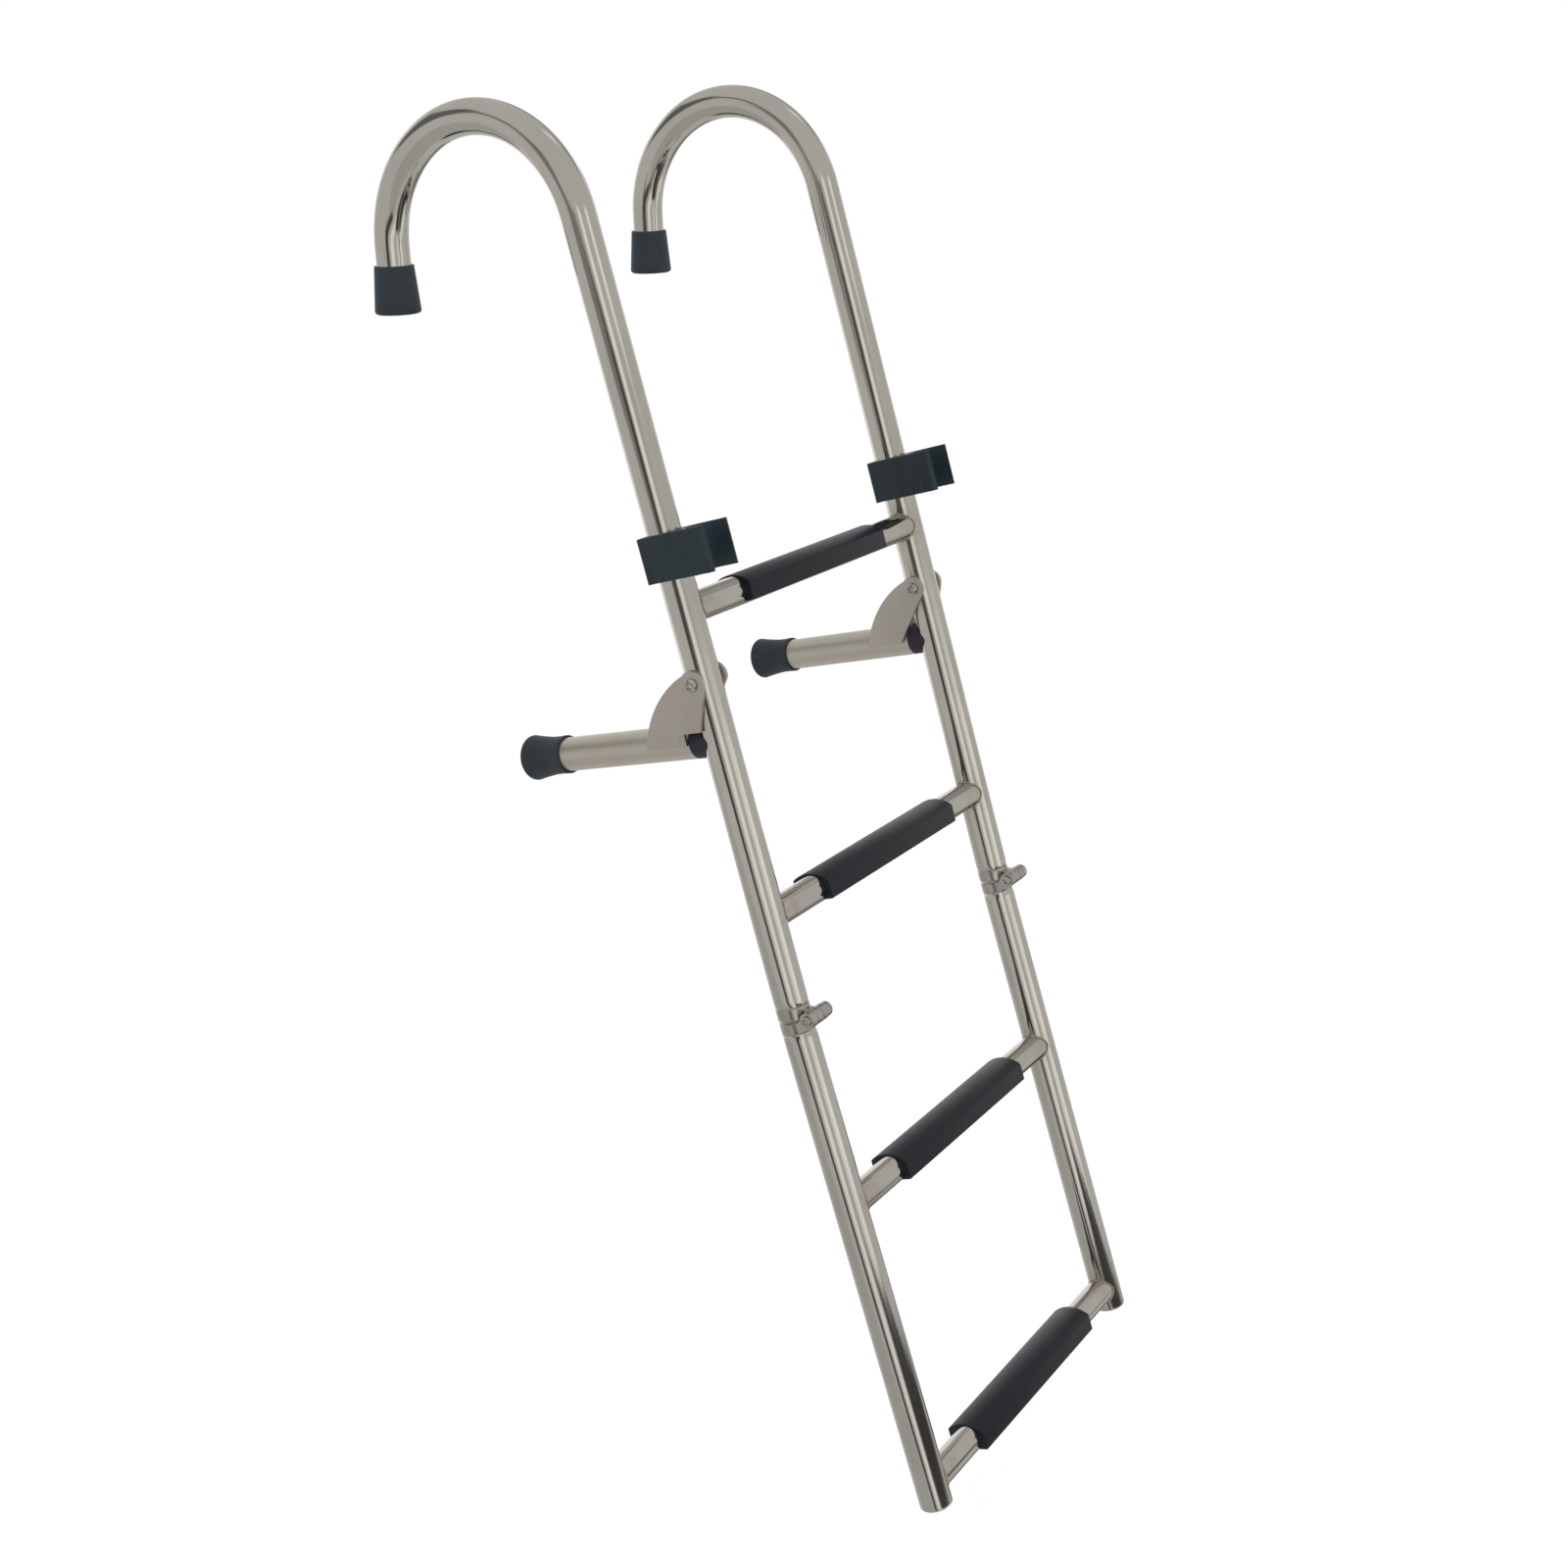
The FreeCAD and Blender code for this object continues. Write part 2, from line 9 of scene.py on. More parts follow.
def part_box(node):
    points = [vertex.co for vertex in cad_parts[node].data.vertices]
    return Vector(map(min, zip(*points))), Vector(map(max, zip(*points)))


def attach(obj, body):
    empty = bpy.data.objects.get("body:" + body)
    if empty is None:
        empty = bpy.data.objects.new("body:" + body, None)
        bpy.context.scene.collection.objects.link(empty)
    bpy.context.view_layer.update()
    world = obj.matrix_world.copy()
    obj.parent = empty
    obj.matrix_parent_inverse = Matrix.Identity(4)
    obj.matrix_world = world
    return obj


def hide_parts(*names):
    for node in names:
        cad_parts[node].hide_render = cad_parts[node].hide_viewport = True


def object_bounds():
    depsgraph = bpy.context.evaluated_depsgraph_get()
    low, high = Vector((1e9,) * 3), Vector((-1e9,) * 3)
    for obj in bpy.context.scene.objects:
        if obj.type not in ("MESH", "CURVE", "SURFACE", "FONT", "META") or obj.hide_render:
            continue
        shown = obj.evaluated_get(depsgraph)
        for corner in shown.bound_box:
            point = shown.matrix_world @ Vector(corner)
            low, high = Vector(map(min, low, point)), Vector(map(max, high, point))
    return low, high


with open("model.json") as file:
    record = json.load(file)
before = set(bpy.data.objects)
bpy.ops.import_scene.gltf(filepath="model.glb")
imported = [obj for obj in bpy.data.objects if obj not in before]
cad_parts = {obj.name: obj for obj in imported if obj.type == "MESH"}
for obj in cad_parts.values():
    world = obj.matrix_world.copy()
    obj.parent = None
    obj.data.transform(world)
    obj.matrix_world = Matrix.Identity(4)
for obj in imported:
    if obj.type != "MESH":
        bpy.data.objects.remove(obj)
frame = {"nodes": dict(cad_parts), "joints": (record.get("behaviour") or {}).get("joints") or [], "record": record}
cad_box = [list(corner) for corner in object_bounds()]
scene = bpy.context.scene

# Where the ladder lies
# It hangs leaned out by its rake. Its own frame has X across, Y towards the boat, Z up the rails and its
# zero midway between the rails where the two halves meet. The lower half leans a little more about the pins.
MM = 0.001
RAKE = math.radians(15)
LOWER_LEAN = math.radians(1.3)
PIN_OFFSET = 17 * MM
joints = {joint["name"]: joint for joint in frame["joints"]}
pin_place = Vector(joints["lower_frame_fold"]["pos_m"])
leaned = Matrix.Rotation(-RAKE, 4, "X")
LADDER = Matrix.Translation(pin_place - leaned @ Vector((0, -PIN_OFFSET, 0))) @ leaned
to_pin = Matrix.Translation((0, -PIN_OFFSET, 0))
LOWER = LADDER @ to_pin @ Matrix.Rotation(-LOWER_LEAN, 4, "X") @ to_pin.inverted()
# Each half: its own frame and the numbers of its steps
HALVES = {"upper_frame": (LADDER, (1, 2)), "lower_frame": (LOWER, (3, 4))}
RAIL_X = joints["standoff_fold_right"]["pos_m"][0]
SIDES = {"left": -RAIL_X, "right": RAIL_X}


def middle(node, placed=LADDER):
    """Middle of a CAD node's box, in the frame of the ladder's upper or lower half."""
    low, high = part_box(node)
    return placed.inverted() @ ((low + high) / 2)


# Camera
# Solved from the photograph's tube edges: a 47.5 mm lens on a 36 mm square frame. It stands on the
# climber's side, to the left, as high as the tops of the hooks, and looks down.
CAMERA_LENS = 47.51
CAMERA_FRAME = 36
CAMERA_PLACE = (-1.2884, -1.0019, 0.0337)
CAMERA_ANGLES = (71.0, 2.18, -56.68)
camera_data = bpy.data.cameras.new("camera")
camera_data.lens = CAMERA_LENS
camera_data.sensor_width = CAMERA_FRAME
camera_data.clip_end = 50
camera = bpy.data.objects.new("camera", camera_data)
camera.location = CAMERA_PLACE
camera.rotation_euler = Euler([math.radians(angle) for angle in CAMERA_ANGLES])
scene.collection.objects.link(camera)
scene.camera = camera


# Studio surround
# White paper behind, grey walls, tall bright strips on the climber's side with dark gaps beside them, and
# a dark frame high on the left. Polished tube is mostly what it mirrors, so these draw its streaks.
class Field:
    """A shader value: arithmetic on it adds the node that works it out."""

    def __init__(self, tree, socket):
        self.tree = tree
        self.socket = socket

    def add(self, kind, settings, sockets, output=0):
        """Add a node: its settings first, then the values or links of its sockets."""
        node = self.tree.nodes.new("ShaderNode" + kind)
        for name, value in settings.items():
            setattr(node, name, value)
        for name, value in sockets.items():
            if isinstance(value, Field):
                self.tree.links.new(value.socket, node.inputs[name])
            else:
                node.inputs[name].default_value = value
        return Field(self.tree, node.outputs[output])

    def maths(self, operation, *others):
        """Add a Math node that takes this value first."""
        sockets = {0: self}
        for place, value in enumerate(others):
            sockets[place + 1] = value
        return self.add("Math", {"operation": operation}, sockets)

    def __add__(self, other):
        return self.maths("ADD", other)

    def __mul__(self, other):
        return self.maths("MULTIPLY", other)

    def __sub__(self, other):
        return self.maths("SUBTRACT", other)

    def __rsub__(self, other):
        return self * -1.0 + other

    __radd__ = __add__
    __rmul__ = __mul__

    def axis(self, index):
        """One of the three parts of a vector."""
        return self.add("SeparateXYZ", {}, {0: self}, index)

    def ramp(self, start, end):
        """0 before start, 1 after end, and a soft rise between."""
        return self.add(
            "MapRange",
            {"interpolation_type": "SMOOTHSTEP"},
            {"Value": self, "From Min": start, "From Max": end},
        )

    def tint(self, low, high):
        """Colour that goes from low to high as this value goes from 0 to 1."""
        sockets = {0: self, 6: low, 7: high}
        return self.add("Mix", {"data_type": "RGBA"}, sockets, 2)


def grey(level):
    return (level, level, level, 1)


def ray_kinds(tree):
    """Whether a ray comes from the camera, off a mirroring surface, or through a clear one."""
    rays = tree.nodes.new("ShaderNodeLightPath")
    kinds = ("Is Camera Ray", "Is Glossy Ray", "Is Transmission Ray")
    return [Field(tree, rays.outputs[kind]) for kind in kinds]


WALL_LEVEL = 0.60
DIFFUSE_LEVEL = 0.62
AZIMUTH_EDGE = 4.0
SLOPE_EDGE = 0.035
# The strips lean: below this slope they shift by so many degrees for each unit of slope, up to a limit
LEAN_START = -0.18
LEAN_LIMIT = 0.25
LEAN = 110.0
# Each panel: azimuth from +X towards +Y and half width, in degrees; lowest and highest slope, which is the
# upward part of a direction of length 1; level
PANELS = [
    (38, 43, -0.42, 0.36, 1.00),
    (135, 65, -1.10, -0.40, 0.48),
    (10, 25, 0.38, 0.62, 0.34),
    (340, 28, -0.75, -0.40, 0.26),
    (272, 18, -0.60, 0.12, 0.90),
    (277, 7, -0.14, 0.07, 1.15),
    (270, 8, 0.30, 0.40, 1.15),
    (247, 6, -0.60, 0.30, 0.55),
    (224, 10, -0.50, 0.10, 1.02),
    (223, 8, 0.10, 0.34, 1.10),
    (191, 9, -0.45, -0.02, 0.05),
    (185, 22, -0.05, 0.18, 0.25),
    (199, 8, -0.05, 0.17, 0.07),
    (161, 10, 0.06, 0.42, 0.24),
    (143, 12, 0.33, 0.46, 0.22),
    (115, 22, 0.24, 0.54, 0.15),
    (338, 9, 0.80, 0.93, 1.05),
]
world = bpy.data.worlds.new("studio")
world.use_nodes = True
scene.world = world
scene.view_settings.view_transform = "Standard"
sky = world.node_tree
sky.nodes.clear()
direction = Field(sky, sky.nodes.new("ShaderNodeTexCoord").outputs["Generated"])
slope = direction.axis(2)
turn = (direction.axis(1) * -1.0).maths("ARCTAN2", direction.axis(0) * -1.0)
sunk = (LEAN_START - slope).maths("MAXIMUM", 0.0).maths("MINIMUM", LEAN_LIMIT)
azimuth = turn * math.degrees(1) + 180.0 - sunk * LEAN
mirrored = slope * 0.0 + WALL_LEVEL
for centre, half_width, low, high, level in PANELS:
    aside = 180 - (180 - (azimuth - centre).maths("ABSOLUTE")).maths("ABSOLUTE")
    shown = 1 - aside.ramp(half_width - AZIMUTH_EDGE, half_width + AZIMUTH_EDGE)
    shown = shown * slope.ramp(low - SLOPE_EDGE, low + SLOPE_EDGE)
    shown = shown * (1 - slope.ramp(high - SLOPE_EDGE, high + SLOPE_EDGE))
    mirrored = mirrored + shown * (level - mirrored)
is_camera, is_glossy, is_through = ray_kinds(sky)
surround = is_glossy * (mirrored - DIFFUSE_LEVEL) + DIFFUSE_LEVEL
surround = surround + is_camera.maths("MAXIMUM", is_through) * (1 - surround)
colour = surround.add("CombineColor", {}, {0: surround, 1: surround, 2: surround})
backdrop = colour.add("Background", {}, {"Color": colour, "Strength": 1.0})
output = sky.nodes.new("ShaderNodeOutputWorld")
sky.links.new(backdrop.socket, output.inputs["Surface"])

# Key lamp
# One large soft box above the camera and a little to its left, which gives the black pieces their form.
# The tubes don't mirror it.
KEY_SIZE = 1.6
KEY_POWER = 26
KEY_PLACE = (-1.5, -1.0, 1.5)
KEY_AIM = (0, -0.2, -0.5)
key_data = bpy.data.lights.new("key", "AREA")
key_data.shape = "SQUARE"
key_data.size = KEY_SIZE
key_data.energy = KEY_POWER
key = bpy.data.objects.new("key", key_data)
key.location = KEY_PLACE
key.rotation_euler = (Vector(KEY_AIM) - key.location).to_track_quat("-Z", "Y").to_euler()
key.visible_glossy = False
scene.collection.objects.link(key)

# Floor
# A sheet of white paper below the lower ends, which takes a faint shadow. Where the tubes mirror it, it is
# clear and shows the surround, except for a painted dark reflection: a patch on the climber's side that only
# mirrored rays see.
FLOOR_HALF = 3.0
FLOOR_DROP = 0.1
PAPER_LEVEL = 0.82
PAPER_GLOW = 1.135
PAPER_GLOW_SHARE = 0.78
# Level of the painted dark reflection, a glow that only mirrored rays meet
PAINTED_DARK_REFLECTION_LEVEL = 0.055
# Where the painted dark reflection fades out: towards the boat, to the right, and along a slanting left edge
PAINTED_DARK_REFLECTION_FAR = (-0.80, -0.45)
PAINTED_DARK_REFLECTION_RIGHT = (0.40, 0.70)
PAINTED_DARK_REFLECTION_LEFT = (-0.08, 0.08)
PAINTED_DARK_REFLECTION_SLANT = 0.48
floor_z = cad_box[0][2] - FLOOR_DROP
floor_mesh = bpy.data.meshes.new("floor")
corners = [(x * FLOOR_HALF, y * FLOOR_HALF, floor_z) for x, y in ((-1, -1), (1, -1), (1, 1), (-1, 1))]
floor_mesh.from_pydata(corners, [], [(0, 1, 2, 3)])
floor = bpy.data.objects.new("floor", floor_mesh)
scene.collection.objects.link(floor)
paper = bpy.data.materials.new("paper")
paper.use_nodes = True
paper.node_tree.nodes.clear()
is_camera, is_glossy, is_through = ray_kinds(paper.node_tree)
spot = Field(paper.node_tree, paper.node_tree.nodes.new("ShaderNodeTexCoord").outputs["Object"])
floor_x = spot.axis(0)
floor_y = spot.axis(1)
# Painted dark reflection: the camera never sees this patch, and it is dark only where the tubes mirror the floor
painted_dark_reflection = 1 - floor_y.ramp(*PAINTED_DARK_REFLECTION_FAR)
painted_dark_reflection = painted_dark_reflection * (1 - floor_x.ramp(*PAINTED_DARK_REFLECTION_RIGHT))
painted_dark_reflection = painted_dark_reflection * (floor_x - floor_y * PAINTED_DARK_REFLECTION_SLANT).ramp(*PAINTED_DARK_REFLECTION_LEFT)
sheet = spot.add("BsdfDiffuse", {}, {"Color": grey(PAPER_LEVEL)})
glow = spot.add("Emission", {}, {"Color": grey(1.0), "Strength": PAPER_GLOW})
seen = is_camera.maths("MAXIMUM", is_through)
lit_sheet = spot.add("MixShader", {}, {0: seen * PAPER_GLOW_SHARE, 1: sheet, 2: glow})
clear = spot.add("BsdfTransparent", {}, {})
dark = spot.add("Emission", {}, {"Color": grey(PAINTED_DARK_REFLECTION_LEVEL), "Strength": 1.0})
mirrored_floor = spot.add("MixShader", {}, {0: painted_dark_reflection, 1: clear, 2: dark})
surface = spot.add("MixShader", {}, {0: is_glossy, 1: lit_sheet, 2: mirrored_floor})
output = paper.node_tree.nodes.new("ShaderNodeOutputMaterial")
paper.node_tree.links.new(surface.socket, output.inputs["Surface"])
floor_mesh.materials.append(paper)

# Rails
# One-inch stainless tube with a thin wall, bent cold into the hooks and polished all over. The ends at the
# hinges are linished, which draws them in a little. The steps' welds have left a brown heat tint.
RAIL_R = 12.7 * MM
HOOK_RADIUS = 89 * MM
COLLAR_TOP = 9.7 * MM
# How far from the collar, and how much the tube is drawn in there, in mm
LINISHED = [(0.0, 0.55), (0.5, 0.38), (1.5, 0.24), (3.0, 0.09), (5.0, 0.0)]
TIP_BOTTOM = 4 * MM
CAP_HEIGHT = 3 * MM
CAP_PLUG = 6 * MM
BEND_STEPS = 78
TUBE_SIDES = 72
# Corners nearer to each other than this are one
SAME_SPOT = 1e-7
STEEL = (0.62, 0.59, 0.53, 1)
BELT_BUMP = 0.005 * MM
HEAT_COLOUR = (0.44, 0.34, 0.25, 1)
HEAT_SHARE = 0.35
HEAT_NEAR = 13 * MM
HEAT_FAR = 24 * MM
UPRIGHT = math.radians(90)
HOOK_SWEEP = math.radians(180) - RAKE


def bent_tube(stations):
    """Tube in the plane across X. Stations are Y, Z, the direction as an angle, and the radius."""
    form = bmesh.new()
    last = None
    for y, z, angle, radius in stations:
        ring = []
        for side in range(TUBE_SIDES):
            turn = 2 * math.pi * side / TUBE_SIDES
            out = radius * math.sin(turn)
            ring.append(form.verts.new((
                radius * math.cos(turn),
                y - out * math.sin(angle),
                z + out * math.cos(angle),
            )))
        if last is None:
            form.faces.new(ring)
        else:
            for side in range(TUBE_SIDES):
                after = (side + 1) % TUBE_SIDES
                form.faces.new((last[side], last[after], ring[after], ring[side]))
        last = ring
    form.faces.new(last)
    return form


def fit_piece(name, form, placed, body, material, nodes=(), crease=35):
    """Make a bmesh a finished piece in the row frame, riding on its body, in place of CAD nodes."""
    bmesh.ops.remove_doubles(form, verts=form.verts, dist=SAME_SPOT)
    form.transform(placed)
    bmesh.ops.recalc_face_normals(form, faces=form.faces)
    mesh = bpy.data.meshes.new(name)
    form.to_mesh(mesh)
    form.free()
    mesh.materials.append(material)
    mesh.shade_smooth()
    mesh.set_sharp_from_angle(angle=math.radians(crease))
    piece = bpy.data.objects.new(name, mesh)
    scene.collection.objects.link(piece)
    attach(piece, body)
    if nodes:
        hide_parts(*nodes)
    return piece


def new_material(name):
    """Material with its Principled shader, and its Object coordinates turned to the ladder's axes."""
    material = bpy.data.materials.new(name)
    material.use_nodes = True
    tree = material.node_tree
    place = Field(tree, tree.nodes.new("ShaderNodeTexCoord").outputs["Object"])
    along = place.add("Mapping", {"vector_type": "POINT"}, {"Vector": place, "Rotation": (RAKE, 0, 0)})
    return material, tree.nodes["Principled BSDF"], along


def feed(shader, name, value):
    """Set a socket of the Principled shader to a plain value or to a field."""
    if isinstance(value, Field):
        value.tree.links.new(value.socket, shader.inputs[name])
    else:
        shader.inputs[name].default_value = value


def noise(place, scale, detail=2.0, rough=0.5):
    return place.add("TexNoise", {}, {"Vector": place, "Scale": scale, "Detail": detail, "Roughness": rough})


def stretched(place, x, y, z):
    return place.add("VectorMath", {"operation": "MULTIPLY"}, {0: place, 1: (x, y, z)})


def nearest(place, points):
    """Distance to the nearest of some points, given in the turned coordinates."""
    shortest = None
    for point in points:
        reach = place.add("VectorMath", {"operation": "DISTANCE"}, {0: place, 1: tuple(point)}, 1)
        shortest = reach if shortest is None else shortest.maths("MINIMUM", reach)
    return shortest


def bumped(height, distance, strength=1.0):
    return height.add("Bump", {}, {"Height": height, "Distance": distance, "Strength": strength})


def scaled(colour, share):
    return (colour[0] * share, colour[1] * share, colour[2] * share, 1)


def weld_spots():
    """Where the steps meet the rails, in the turned coordinates that the materials read."""
    spots = []
    for number in range(1, 5):
        low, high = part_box("step_%d_tube" % number)
        centre = (low + high) / 2
        for x in SIDES.values():
            toe = x - math.copysign(RAIL_R, x)
            spots.append(leaned.inverted() @ Vector((toe, centre.y, centre.z)))
    return spots


def polished(name, roughness, grain):
    """Polished stainless: fine lines left by the belt, faint smears, and tint near the welds."""
    material, shader, place = new_material(name)
    smears = noise(place, 14.0, 3.0)
    lines = noise(stretched(place, *grain), 1.0, 2.0)
    base = smears.ramp(0.3, 0.7).tint(scaled(STEEL, 0.93), STEEL)
    near = 1 - nearest(place, weld_spots()).ramp(HEAT_NEAR, HEAT_FAR)
    base = (near * HEAT_SHARE * noise(place, 160.0).ramp(0.2, 0.7)).tint(base, HEAT_COLOUR)
    feed(shader, "Base Color", base)
    feed(shader, "Metallic", 1.0)
    feed(shader, "Roughness", roughness + smears * 0.05 + lines * 0.03)
    feed(shader, "Normal", bumped(lines, BELT_BUMP, 0.6))
    return material


def rail_bottom(side):
    """Height in the lower half's frame at which a rail ends and the face of its cap starts."""
    return middle("rail_end_cap_" + side, LOWER).z - (CAP_PLUG - CAP_HEIGHT) / 2


rail_steel = polished("rail_steel", 0.07, (90, 90, 1400))
hook_middle = LADDER.inverted() @ Vector((0, 0, RAIL_R - HOOK_RADIUS))
for side, x in SIDES.items():
    stations = []
    for up, drawn_in in LINISHED:
        stations.append((0, COLLAR_TOP + up * MM, UPRIGHT, RAIL_R - drawn_in * MM))
    for step in range(BEND_STEPS + 1):
        turn = HOOK_SWEEP * step / BEND_STEPS
        stations.append((
            hook_middle.y - HOOK_RADIUS * math.cos(turn),
            hook_middle.z + HOOK_RADIUS * math.sin(turn),
            UPRIGHT - turn,
            RAIL_R,
        ))
    y, z, angle, radius = stations[-1]
    leg = (LADDER @ Vector((0, y, z))).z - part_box("hook_tip_" + side)[0].z - TIP_BOTTOM
    stations.append((y + leg * math.sin(RAKE), z - leg * math.cos(RAKE), angle, radius))
    placed = LADDER @ Matrix.Translation((x, 0, 0))
    fit_piece("upper_rail_tube_" + side, bent_tube(stations), placed, "upper_frame",
              rail_steel, ["upper_rail_" + side])
    stations = []
    for down, drawn_in in LINISHED:
        stations.append((0, -COLLAR_TOP - down * MM, -UPRIGHT, RAIL_R - drawn_in * MM))
    stations.append((0, rail_bottom(side), -UPRIGHT, RAIL_R))
    placed = LOWER @ Matrix.Translation((x, 0, 0))
    fit_piece("lower_rail_tube_" + side, bent_tube(stations), placed, "lower_frame",
              rail_steel, ["lower_rail_" + side])

# Rail end caps
# A pressed stainless disc with a rounded edge, let into the lower end of each rail, welded and polished
# over, so that the tube looks closed and slightly domed.
CAP_ROUND = 2 * MM
CAP_DOME = 0.2 * MM


def turned(profile, sides=TUBE_SIDES):
    """Form turned about Z. The profile is (height, radius) from pole to pole; a third number is the
    half width across flats where the ring is a hexagon."""
    form = bmesh.new()
    last = None
    for height, radius, *flats in profile:
        ring = []
        for side in range(sides):
            angle = 2 * math.pi * side / sides
            reach = radius
            if flats:
                reach = min(radius, flats[0] / math.cos(angle % (math.pi / 3) - math.pi / 6))
            ring.append(form.verts.new((reach * math.cos(angle), reach * math.sin(angle), height)))
            if radius == 0:
                break
        for side in range(sides):
            after = (side + 1) % sides
            if last is None:
                break
            if len(ring) == 1:
                form.faces.new((last[side], last[after], ring[0]))
            elif len(last) == 1:
                form.faces.new((last[0], ring[after], ring[side]))
            else:
                form.faces.new((last[side], last[after], ring[after], ring[side]))
        last = ring
    return form


def arc(u, v, radius, start, end, steps=8):
    """Points on an arc about (u, v), from one angle in degrees to another."""
    points = []
    for step in range(steps + 1):
        angle = math.radians(start + (end - start) * step / steps)
        points.append((u + radius * math.cos(angle), v + radius * math.sin(angle)))
    return points


def rim(height, radius, ease, start, end, steps=8):
    """Profile points on an arc about (height, radius), its angles counted up from straight out."""
    return [(height + rise, radius + reach) for reach, rise in arc(0, 0, ease, start, end, steps)]


for side, x in SIDES.items():
    profile = [(0, 0), (0, RAIL_R)]
    profile += rim(CAP_HEIGHT - CAP_ROUND, RAIL_R - CAP_ROUND, CAP_ROUND, 0, 90)
    profile.append((CAP_HEIGHT + CAP_DOME, 0))
    placed = LOWER @ Matrix.Translation((x, 0, rail_bottom(side))) @ Matrix.Rotation(math.pi, 4, "X")
    fit_piece("rail_end_" + side, turned(profile), placed, "lower_frame",
              rail_steel, ["rail_end_cap_" + side])

# Hook tips
# Moulded rubber ferrules pushed over the short legs: slightly flared, with a rounded closed end and the
# faint line where the two halves of the mould met.
TIP_RIM = 14.5 * MM
TIP_RIM_EASE = 0.4 * MM
TIP_END = 17.0 * MM
TIP_EDGE = 2.5 * MM
TIP_BORE = 12.8 * MM
TIP_SEAMS = (-55, 125)
SEAM_HEIGHT = 0.12 * MM
RUBBER = (0.022, 0.031, 0.038, 1)


def moulded(name, colour, roughness, grain, height, specular=0.35):
    """Moulded black rubber or plastic: an even fine grain, faint bloom, and duller patches."""
    material, shader, place = new_material(name)
    bloom = noise(place, 22.0, 4.0, 0.6)
    pores = noise(place, grain, 3.0, 0.6)
    feed(shader, "Base Color", bloom.ramp(0.25, 0.75).tint(scaled(colour, 0.8), scaled(colour, 1.25)))
    feed(shader, "Roughness", roughness + bloom * 0.14)
    feed(shader, "Specular IOR Level", specular)
    feed(shader, "Normal", bumped(pores, height))
    return material


def seamed(form, angles):
    """Raise a fine mould line on a turned form at the given angles in degrees."""
    for vert in form.verts:
        reach = math.hypot(vert.co.x, vert.co.y)
        turn = math.degrees(math.atan2(vert.co.y, vert.co.x))
        for angle in angles:
            if reach > RAIL_R and abs((turn - angle + 180) % 360 - 180) < 1:
                vert.co.x *= (reach + SEAM_HEIGHT) / reach
                vert.co.y *= (reach + SEAM_HEIGHT) / reach
    return form


rubber = moulded("rubber", RUBBER, 0.46, 1500.0, 0.05 * MM)
for side in SIDES:
    low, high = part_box("hook_tip_" + side)
    length = high.z - low.z
    profile = [(TIP_BOTTOM, 0), (TIP_BOTTOM, TIP_BORE), (length, TIP_BORE)]
    profile += [(length, TIP_RIM - TIP_RIM_EASE), (length - TIP_RIM_EASE, TIP_RIM)]
    profile += rim(TIP_EDGE, TIP_END - TIP_EDGE, TIP_EDGE, 0, -90)
    profile.append((0, 0))
    centre = (low + high) / 2
    placed = Matrix.Translation((centre.x, centre.y, low.z))
    fit_piece("hook_ferrule_" + side, seamed(turned(profile), TIP_SEAMS), placed, "upper_frame",
              rubber, ["hook_tip_" + side])

# Rail clips
# Moulded plastic blocks: a closed sleeve round the upper rail and, behind it, an open pair of jaws that
# snaps over the folded lower rail. Upright ribs stiffen both cheeks.
CLIP_FRONT = 14.5 * MM
CLIP_REAR = 45.2 * MM
CLIP_HALF_WIDTH = 15.6 * MM
CLIP_CORNER = 3.5 * MM
CLIP_BORE = 12.8 * MM
CLIP_MOUTH = 13.2 * MM
CLIP_LIP = 0.05 * MM
CLIP_HEIGHT = 32.5 * MM
RIB_RADIUS = 2.4 * MM
RIB_INSET = 0.8 * MM
RIB_TURN = 88
RIBS = 6
CLIP_EDGE = 1.0 * MM
CLIP_PLASTIC = (0.016, 0.027, 0.033, 1)


def slab(outlines, low, high, edge, clear=0.0):
    """Flat outlines that share edges, drawn out from low to high along Z. Their rims are rounded, but for
    those nearer to the axis than clear."""
    form = bmesh.new()
    for outline in outlines:
        form.faces.new([form.verts.new((u, v, low)) for u, v in outline])
    bmesh.ops.remove_doubles(form, verts=form.verts, dist=SAME_SPOT)
    drawn = bmesh.ops.extrude_face_region(form, geom=form.faces[:], use_keep_orig=True)
    moved = [item for item in drawn["geom"] if isinstance(item, bmesh.types.BMVert)]
    bmesh.ops.translate(form, verts=moved, vec=(0, 0, high - low))
    form.normal_update()
    rims = []
    for line in form.edges:
        flat = [abs(face.normal.z) > 0.5 for face in line.link_faces]
        outer = all(vert.co.xy.length > clear for vert in line.verts)
        if outer and len(flat) == 2 and flat[0] != flat[1]:
            rims.append(line)
    bmesh.ops.bevel(form, geom=rims, offset=edge, segments=3, profile=0.5, affect="EDGES",
                    clamp_overlap=True)
    return form


